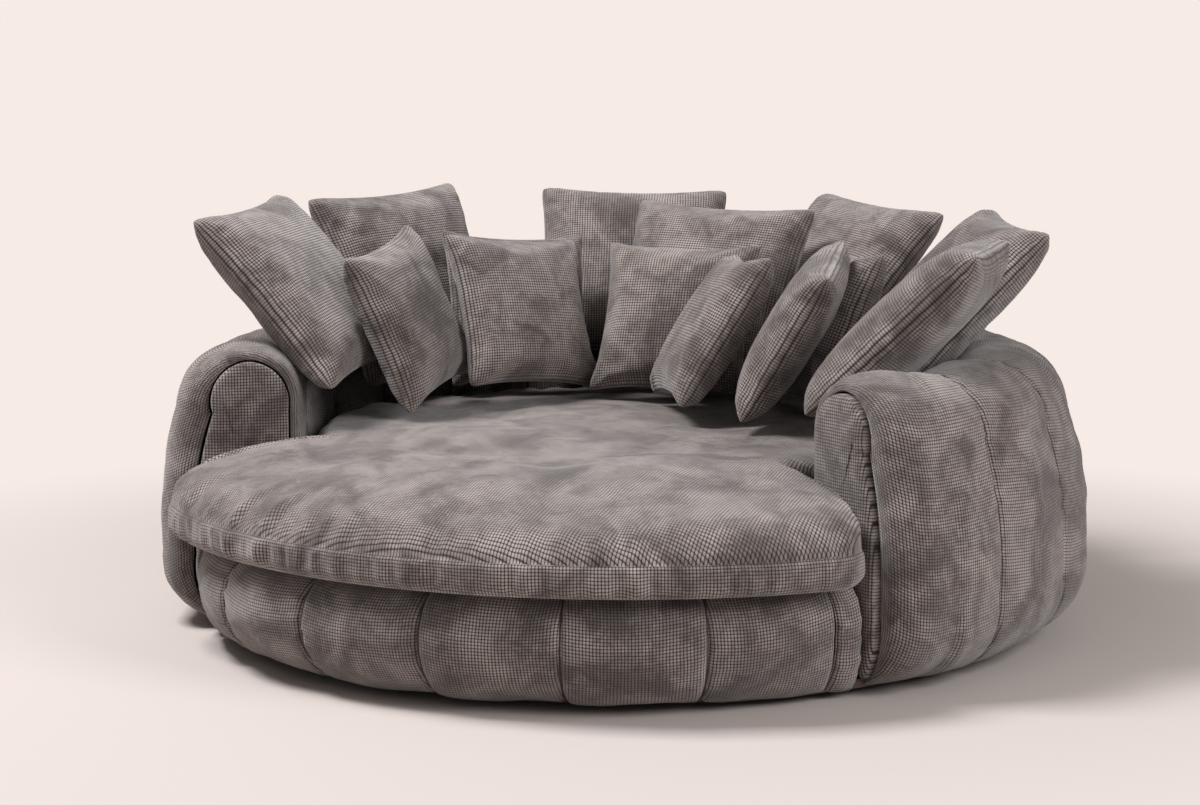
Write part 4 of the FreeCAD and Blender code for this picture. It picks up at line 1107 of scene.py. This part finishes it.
        top += self.gather * short_fold * rise * np.exp(-drawn / (self.gather_share * self.fold_reach))
        settled = 1 - np.exp(-drawn / self.settle_reach)
        top += self.lump * settled * (lumps(points[face:], self.lump_length, lump_seed) - self.lump_sink)
        top += self.dent * settled * (lumps(points[face:], self.dent_length, dent_seed) - self.dent_sink)
        relief = np.zeros(points.shape[:2])
        relief[start:face] = boxing * (1 - back) + flat * back
        relief[face:] = top
        return points + normal * relief[..., None]


@dataclass(frozen=True)
class Pose:
    """Where a scatter cushion stands: its angle about the chair and its turn, lean and roll."""

    around: float
    turn: float
    lean: float
    roll: float
    variant: int = 0


COVER_CLOTH = {"quality": 6, "mass": 0.25, "tension_stiffness": 22, "compression_stiffness": 12,
               "shear_stiffness": 6, "bending_stiffness": 0.35, "air_damping": 3, "use_pressure": True}


@dataclass
class ScatterCushion:
    """A knife-edge scatter cushion, sewn from two squares and blown up as cloth."""

    side: float
    thickness: float
    seed: int
    cells: int = 44
    draw: float = 0.04
    rounding: float = 0.05
    grow: float = 0.035
    dog_ear: float = 3.4 * MM
    dog_ear_reach: float = 62 * MM
    dog_ear_start: float = 14 * MM
    crease: float = 3.0 * MM
    crease_length: float = 150 * MM
    crease_waves: int = 14
    crease_stretch: float = 0.45
    crease_sharpness: float = 3.0
    crease_fade: float = 4.0
    dog_ear_waves: tuple[float, float] = (7, 10)
    dog_ear_fade: float = 12.0
    corner_power: int = 9
    crown_power: float = 2.6
    seam_share: float = 0.45
    reach: float = 0.486
    swell: float = 0.515
    slack: tuple[float, float, float] = (0.985, 0.985, 0.82)
    jitter: float = 0.4 * MM
    seam_band: float = 3 * MM
    cap: float = 11 * MM
    pressure: float = 4.0
    frames: int = 18
    pinch: float = 1.6 * MM
    pinch_length: float = 22 * MM
    pinch_reach: float = 18 * MM
    pinch_start: float = 4 * MM
    sheets: list[np.ndarray] = field(default_factory=list)

    def stations(self) -> tuple[np.ndarray, np.ndarray]:
        """Square coordinates from -1 to 1, closer together towards the seam."""
        even = np.linspace(-1, 1, self.cells + 1)
        line = self.seam_share * np.sin(0.5 * np.pi * even) + (1 - self.seam_share) * even
        return np.meshgrid(line, line)

    def form(self) -> list[np.ndarray]:
        """Front and back sheets: sides drawn in between the corners, crowned in the middle.

        x = u s/2 (1 - 2 d (1 - v^2) |u| - r |uv|^9), y alike, with the draw d and the rounding r;
        z = t/2 ((1 - |u|^2.6)(1 - |v|^2.6))^0.5.

        Returns:
            The two grids of points.
        """
        across, rising = self.stations()
        half = 0.5 * self.side
        cut = self.rounding * np.abs(across * rising) ** self.corner_power
        x = across * half * (1 - 2 * self.draw * (1 - rising ** 2) * np.abs(across) - cut)
        y = rising * half * (1 - 2 * self.draw * (1 - across ** 2) * np.abs(rising) - cut)
        power = self.crown_power
        crown = ((1 - np.abs(across) ** power) * (1 - np.abs(rising) ** power)) ** 0.5
        z = 0.5 * self.thickness * crown
        return [np.stack([x, y, sign * z], axis=-1) for sign in (1, -1)]

    def blow_up(self) -> None:
        """Let the sewn cover grow a little and fill with air as cloth, and keep the capped result."""
        sheets = self.form()
        rows = sheets[0].shape[0]
        flat = 0.5 * self.side * threaded(*self.stations())
        patch = Patch.together([Patch.grid(sheets[0], flat), Patch.grid(sheets[1][:, ::-1], flat)])
        start = patch.points.copy()
        draw = np.random.default_rng(self.seed)
        patch.points = patch.points * np.array(self.slack)
        inside = np.abs(start[:, 2]) > self.seam_band
        patch.points[:, 2] += self.jitter * draw.normal(size=len(start)) * inside
        piece = patch.build("inflating_cover", CORD)
        count = len(piece.data.vertices)
        before = np.empty(3 * count)
        piece.data.vertices.foreach_get("co", before)
        cloth = piece.modifiers.new("air", "CLOTH")
        settings = cloth.settings
        for key, value in COVER_CLOTH.items():
            setattr(settings, key, value)
        settings.shrink_min = -self.grow
        settings.uniform_pressure_force = self.pressure
        settings.effector_weights.gravity = 0
        cloth.collision_settings.use_collision = False
        scene = bpy.context.scene
        cloth.point_cache.frame_end = self.frames + 1
        for number in range(1, self.frames + 1):
            scene.frame_set(number)
        result = piece.evaluated_get(bpy.context.evaluated_depsgraph_get()).to_mesh()
        after = np.empty(3 * count)
        result.vertices.foreach_get("co", after)
        before, after = before.reshape(-1, 3), after.reshape(-1, 3)
        move = after - before
        length = np.linalg.norm(move, axis=1, keepdims=True)
        after = before + move * np.minimum(1, self.cap / np.maximum(length, 1e-9))
        bpy.data.objects.remove(piece)
        scene.frame_set(1)
        order = self.find(before, patch.points)
        grids = after[order].reshape(2, rows, rows, 3)
        self.sheets = [grids[0], grids[1][:, ::-1]]

    @staticmethod
    def find(merged: np.ndarray, points: np.ndarray) -> np.ndarray:
        """Index of the merged vertex at each point, matched by rounded coordinates."""
        scale = 1 / (0.5 * MERGE_DISTANCE * 100)
        known, wanted = (np.round(part * scale).astype(int).tolist() for part in (merged, points))
        keys = {tuple(key): index for index, key in enumerate(known)}
        return np.array([keys[tuple(key)] for key in wanted])

    def fitted(self) -> list[np.ndarray]:
        """Sheets scaled so that their corners and crown meet the cushion's sizes, with a pinched seam."""
        front, back = (sheet.copy() for sheet in self.sheets)
        across, rising = self.stations()
        reach = np.abs(front[[0, 0, -1, -1], [0, -1, 0, -1], :2]).mean()
        crown = 0.5 * (np.percentile(front[..., 2], 99) - np.percentile(back[..., 2], 1))
        scale = np.array([self.reach * self.side / reach] * 2 + [self.swell * self.thickness / crown])
        rim = np.maximum(np.abs(across), np.abs(rising))
        along = np.where(np.abs(across) > np.abs(rising), rising, across) * self.side / 2
        near = (1 - rim) * self.side / 2
        fade = np.exp(-near / self.pinch_reach) * (1 - np.exp(-near / self.pinch_start))
        for number, sheet in enumerate((front, back)):
            sheet *= scale
            wave = ripple(along, self.pinch_length, self.seed + number)
            relief = self.pinch * wave * fade + self.folds(sheet[..., :2], rim, self.seed + 7 * number)
            sheet[..., 2] += (1 if number == 0 else -1) * relief
        middle = 0.5 * (front + back)
        edge = rim > 1 - 1e-6
        front[edge] = middle[edge]
        back[edge] = middle[edge]
        return [front, back]

    def folds(self, plan: np.ndarray, rim: np.ndarray, seed: int) -> np.ndarray:
        """Crinkles that run out of each corner along the diagonal, and a few soft creases.

        Args:
            plan: Points in the cushion's own plane.
            rim: Nearness to the seam, from 0 in the middle to 1.
            seed: Seed of the random draws.

        Returns:
            Heights of the folds.
        """
        draw = np.random.default_rng(seed)
        relief = np.zeros(rim.shape)
        half = self.reach * self.side
        for right, up in ((-1, -1), (-1, 1), (1, -1), (1, 1)):
            away = plan - half * np.array([right, up])
            far = np.linalg.norm(away, axis=-1)
            turn = np.arctan2(away[..., 1], away[..., 0]) - math.atan2(-up, -right)
            wave = np.cos(draw.uniform(*self.dog_ear_waves) * turn + draw.uniform(0, 2 * np.pi))
            fade = np.exp(-far / self.dog_ear_reach) * (1 - np.exp(-far / self.dog_ear_start))
            relief += self.dog_ear * wave * fade
        squashed = plan * np.array([1.0, self.crease_stretch])
        space = np.concatenate([squashed, np.zeros(rim.shape + (1,))], axis=-1)
        soft = np.abs(lumps(space, self.crease_length, seed + 3, self.crease_waves))
        inside = np.clip(self.crease_fade * (1 - rim), 0, 1)
        creases = self.crease * np.exp(-self.crease_sharpness * soft) * inside
        return relief * np.clip(self.dog_ear_fade * (1 - rim), 0, 1) - creases

    def set_down(self, name: str, pose: Pose) -> Piece:
        """One cushion at its place on the chair.

        Args:
            name: Name of its body and the first word of its nodes.
            pose: How it stands.

        Returns:
            The piece, riding on its body and in place of its solids.
        """
        low, high = (np.array(corner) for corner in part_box(name + "_cover"))
        centre = 0.5 * (low + high)
        facing = pose.around + 180 + pose.turn
        forward, sideways, up = polar(facing, 1.0), polar(facing + 90, 1.0), np.array([0.0, 0.0, 1.0])
        lean, roll = math.radians(pose.lean), math.radians(pose.roll)
        normal = forward * math.cos(lean) + up * math.sin(lean)
        rising = up * math.cos(lean) - forward * math.sin(lean)
        axes = np.array([sideways * math.cos(roll) + rising * math.sin(roll),
                         rising * math.cos(roll) - sideways * math.sin(roll), normal])
        flat = 0.5 * self.side * threaded(*self.stations())
        front, back = self.fitted()
        patches = []
        for number, sheet in enumerate((front, back)):
            turned = sheet
            for _ in range(pose.variant % 4):
                turned = np.stack([-turned[..., 1], turned[..., 0], turned[..., 2]], axis=-1)
            world = centre + turned @ axes
            if number == 0:
                patches.append(Patch.grid(world, flat))
            else:
                patches.append(Patch.grid(world[:, ::-1], flat[:, ::-1][:, :, [1, 0, 3, 2]]))
        piece = Patch.together(patches).build(name + "_filled", CORD)
        smooth = piece.modifiers.new("smooth", "SUBSURF")
        smooth.levels = smooth.render_levels = 1
        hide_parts(name + "_cover", name + "_pad")
        return dress(piece, name)


POSES = {
    "large_cushion_1": Pose(287, -12, 40, 5, 0),
    "large_cushion_2": Pose(251, -1, 23, 3, 1),
    "large_cushion_3": Pose(201, 0, 33, -1, 2),
    "large_cushion_4": Pose(180, -5, 27, -2, 3),
    "large_cushion_5": Pose(158, -11, 40, -5, 1),
    "large_cushion_6": Pose(83, 13, 46, 0, 2),
    "large_cushion_7": Pose(120, 2, 43, -5, 0),
    "small_cushion_1": Pose(279, -7, 21, 9, 1),
    "small_cushion_2": Pose(240, 3, 22, -5, 2),
    "small_cushion_3": Pose(230, -1, 16, -3, 3),
    "small_cushion_4": Pose(182, 3, 25, 0, 0),
    "small_cushion_5": Pose(127, -7, 32, 3, 1),
    "small_cushion_6": Pose(95, 12, 30, -10, 2),
    "small_cushion_7": Pose(128, -5, 22, 1, 3),
}


def dress(piece: Piece, body: str) -> Piece:
    """Let an upholstered piece ride on a body and say what it is.

    Args:
        piece: The piece, in place.
        body: Name of the body that it moves with.

    Returns:
        The piece.
    """
    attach(piece, body)
    LOG.info("%s: %d faces on %s", piece.name, len(piece.data.polygons), body)
    return piece


@dataclass
class Foam:
    """The foam of the back and of the front roll, between the frame and the covers."""

    roll: Roll
    front: FrontRoll
    skin: float = 6.3 * MM
    base: float = 36.3 * MM
    inner_radius: float = 756.7 * MM
    outer_radius: float = 928.3 * MM
    rail_top: float = 589.3 * MM
    corner: float = 50 * MM
    ring: float = 213.3 * MM
    tuck: float = 880.3 * MM
    back_start: float = 58.9
    back_sections: int = 121
    front_limit: float = 47.5
    front_sections: int = 61

    @staticmethod
    def resampled(path: list[tuple[float, float]], count: int) -> np.ndarray:
        """Even points along a polygon of radii and heights."""
        points = np.array(path)
        run = run_length(points, 0)
        at = np.linspace(0, run[-1], count)
        return np.stack([np.interp(at, run, points[:, 0]), np.interp(at, run, points[:, 1])], axis=-1)

    def body(self, name: str, outer: np.ndarray, path: list[tuple[float, float]],
             angles: np.ndarray) -> None:
        """Foam between its outer sections and the frame, riding on the frame in place of its node.

        Args:
            name: Name of the node.
            outer: Outer sections, angles by points by (radius, height).
            path: Polygon along the frame, from the section's first point to its last.
            angles: Angle of each section.
        """
        outside = outer.transpose(1, 0, 2)
        inside = np.broadcast_to(self.resampled(path, len(outside))[:, None], outside.shape)
        points = polar(angles[None, :], outside[..., 0], outside[..., 1])
        under = polar(angles[None, :], inside[..., 0], inside[..., 1])
        turn = np.radians(corners(np.broadcast_to(angles, outside.shape[:2])))
        thread = np.stack([turn, corners(outside[..., 1])], axis=-1)
        # The foam's dark finish is painted shade for the gaps between the covers where it shows.
        piece = Patch.shell(points, under, thread).build(name + "_block", FRAME_FINISHES["foam"])
        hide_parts(name)
        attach(piece, "root")

    def build(self) -> None:
        """Both foams, each section as wide as the covers leave room for."""
        seam = self.roll.quilting.seam_depth
        angles = np.linspace(self.back_start, 360 - self.back_start, self.back_sections)
        inset = np.full(len(angles), seam)
        outer = self.roll.section(inset, inset, inset, skin=self.skin)
        reach = self.corner * (1 - math.sqrt(0.5))
        right, left, top = self.outer_radius, self.inner_radius, self.rail_top
        path = [(outer[0, 0, 0], self.base), (right, self.base), (right, top - self.corner),
                (right - reach, top - reach), (right - self.corner, top), (left + self.corner, top),
                (left + reach, top - reach), (left, top - self.corner), (left, outer[0, -1, 1])]
        self.body("back_foam", outer, path, angles)
        angles = np.linspace(-self.front_limit, self.front_limit, self.front_sections)
        outer = self.front.section(self.front.drawn_in(angles) + seam, self.skin)
        outer[:, -1, 0] = self.tuck
        path = [(outer[0, 0, 0], self.base), (right, self.base), (right, self.ring),
                (self.tuck, self.ring)]
        self.body("front_foam", outer, path, angles)


@dataclass
class DeckCloth:
    """The padded cloth over the deck, which shows when the seat cushion is lifted off."""

    radius: float = 724.7 * MM
    front: float = 879.7 * MM
    limit: float = 52.2
    bottom: float = 216 * MM
    top: float = 245 * MM
    sag: float = 1.2 * MM
    sag_length: float = 160 * MM
    sag_sink: float = 1.5
    edge_power: int = 8
    ring_power: float = 0.8
    seed: int = 91
    rings: int = 40
    columns: int = 240

    def build(self) -> Piece:
        """Rings of the deck's outline, wider in front, on top, over the edge and underneath."""
        around = np.linspace(-180, 180, self.columns + 1)
        inside = np.abs(around) < self.limit
        rim = np.where(inside, self.front, self.radius)
        share = np.linspace(0, 1, self.rings) ** self.ring_power
        top = polar(around, rim * share[:, None], self.top)
        soft = self.sag * (lumps(top, self.sag_length, self.seed) - self.sag_sink)
        top[..., 2] += np.minimum(soft, 0) * (1 - share[:, None] ** self.edge_power)
        low = polar(around, rim * share[::-1, None], self.bottom)
        points = np.concatenate([top, low])
        thread = threaded(points[..., 0], points[..., 1])
        piece = Patch.grid(points, thread).build("deck_pad_cloth", FRAME_FINISHES["fibre_filling"])
        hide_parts("deck_pad")
        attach(piece, "root")
        return piece


def dress_frame() -> None:
    """Give every CAD node that stays the finish of its slot."""
    slots = {row["node"]: row["material_slot"] for row in frame["record"]["subparts"]}
    for name, node in frame["nodes"].items():
        finish = FRAME_FINISHES.get(slots[name])
        if finish is None:
            continue
        if not node.data.materials:
            node.data.materials.append(None)
        for place in node.material_slots:
            place.material = finish.material()


@dataclass
class Studio:
    """Plain pale floor and backdrop, soft lights and the camera at the photo's viewpoint."""

    pale: str = "#F7EBE6"
    floor_tone: str = "#BEB5B1"
    camera_place: tuple[float, float, float] = (2.107, -5.037, 1.21)
    camera_around: float = 23.25
    camera_down: float = 7.60
    lens: float = 71.94
    sensor: float = 36.0
    floor_radius: float = 40.0
    floor_corners: int = 96
    fade_start: float = 1.15
    fade_end: float = 2.7
    world_strength: float = 0.36
    sky: str = "#F6F1EE"
    key_place: tuple[float, float, float] = (-2.4, -1.5, 5.1)
    key_aim: tuple[float, float, float] = (0.0, 0.0, 0.4)
    key_width: float = 1.8
    key_energy: float = 400.0
    fill_place: tuple[float, float, float] = (4.9, -1.6, 3.0)
    fill_aim: tuple[float, float, float] = (0.2, 0.0, 0.4)
    fill_width: float = 2.6
    fill_energy: float = 190.0

    def floor_material(self) -> bpy.types.Material:
        """Matt pale floor that fades into the backdrop's colour with distance from the chair."""
        material = bpy.data.materials.new("pale_floor")
        tree = cleared(material)
        distance = add(tree, "VectorMath", {"operation": "LENGTH", 0: object_place(tree)}).outputs["Value"]
        fade = stepped(tree, distance, self.fade_start, self.fade_end)
        seen = add(tree, "LightPath").outputs["Is Camera Ray"]
        share = output(tree, "Math", {"operation": "MULTIPLY", 0: fade, 1: seen})
        matt = output(tree, "BsdfDiffuse", {"Color": linear(self.floor_tone)})
        plain = output(tree, "Emission", {"Color": linear(self.pale), "Strength": 1.0})
        add(tree, "OutputMaterial", {0: output(tree, "MixShader", {0: share, 1: matt, 2: plain})})
        return material

    def floor(self) -> Piece:
        """Large flat disc under the chair."""
        around = np.linspace(0, 360, self.floor_corners, endpoint=False)
        rim = polar(around, self.floor_radius)
        mesh = bpy.data.meshes.new("studio_floor")
        mesh.from_pydata(rim.tolist(), [], [list(range(len(rim)))])
        mesh.materials.append(self.floor_material())
        floor = linked("studio_floor", mesh)
        return floor

    def world(self) -> None:
        """Even pale surroundings: full strength for the camera, less as light on the chair."""
        world = bpy.data.worlds.new("pale_studio")
        tree = cleared(world)
        seen = add(tree, "LightPath").outputs["Is Camera Ray"]
        soft = output(tree, "Background", {"Color": linear(self.sky), "Strength": self.world_strength})
        plain = output(tree, "Background", {"Color": linear(self.pale), "Strength": 1.0})
        add(tree, "OutputWorld", {0: output(tree, "MixShader", {0: seen, 1: soft, 2: plain})})
        bpy.context.scene.world = world

    def lamp(self, name: str, place: tuple[float, float, float], aim: tuple[float, float, float],
             width: float, energy: float) -> None:
        """Square area lamp that looks at a point."""
        data = bpy.data.lights.new(name, "AREA")
        data.size = width
        data.energy = energy
        lamp = linked(name, data)
        way = np.array(aim) - np.array(place)
        around = math.atan2(way[0], -way[1])
        down = math.atan2(math.hypot(way[0], way[1]), -way[2])
        lamp.location = place
        lamp.rotation_euler = (down, 0, around + math.pi)

    def camera(self) -> None:
        """Camera at the photo's viewpoint."""
        data = bpy.data.cameras.new("photo_camera")
        data.sensor_width = self.sensor
        data.lens = self.lens
        camera = linked("photo_camera", data)
        camera.location = self.camera_place
        camera.rotation_euler = (math.radians(90 - self.camera_down), 0, math.radians(self.camera_around))
        bpy.context.scene.camera = camera

    def build(self) -> None:
        """Camera, floor, surroundings and lamps."""
        self.camera()
        self.floor()
        self.world()
        self.lamp("key_lamp", self.key_place, self.key_aim, self.key_width, self.key_energy)
        self.lamp("fill_lamp", self.fill_place, self.fill_aim, self.fill_width, self.fill_energy)


def main() -> None:
    """Build the studio and every piece of the chair, in the order of its assembly."""
    logging.basicConfig(level=logging.INFO, format="%(message)s")
    bpy.context.scene.view_settings.view_transform = "Standard"
    Studio().build()
    dress_frame()
    roll = Roll()
    third = roll.panels // 3
    roll.cover("right_arm_wrap", 0, third)
    roll.cover("back_wrap", third, roll.panels - third)
    roll.cover("left_arm_wrap", roll.panels - third, roll.panels)
    front = FrontRoll(roll)
    front.build()
    Foam(roll, front).build()
    for side in Side:
        ArmFront(roll, side).build()
    DeckCloth().build()
    SeatCushion().build()
    kinds = {"large": ScatterCushion(side=495 * MM, thickness=155 * MM, seed=31),
             "small": ScatterCushion(side=390 * MM, thickness=125 * MM, seed=32, cells=38)}
    for cushion in kinds.values():
        cushion.blow_up()
    for name, pose in POSES.items():
        kinds[name.split("_")[0]].set_down(name, pose)


if __name__ == "__main__":
    main()
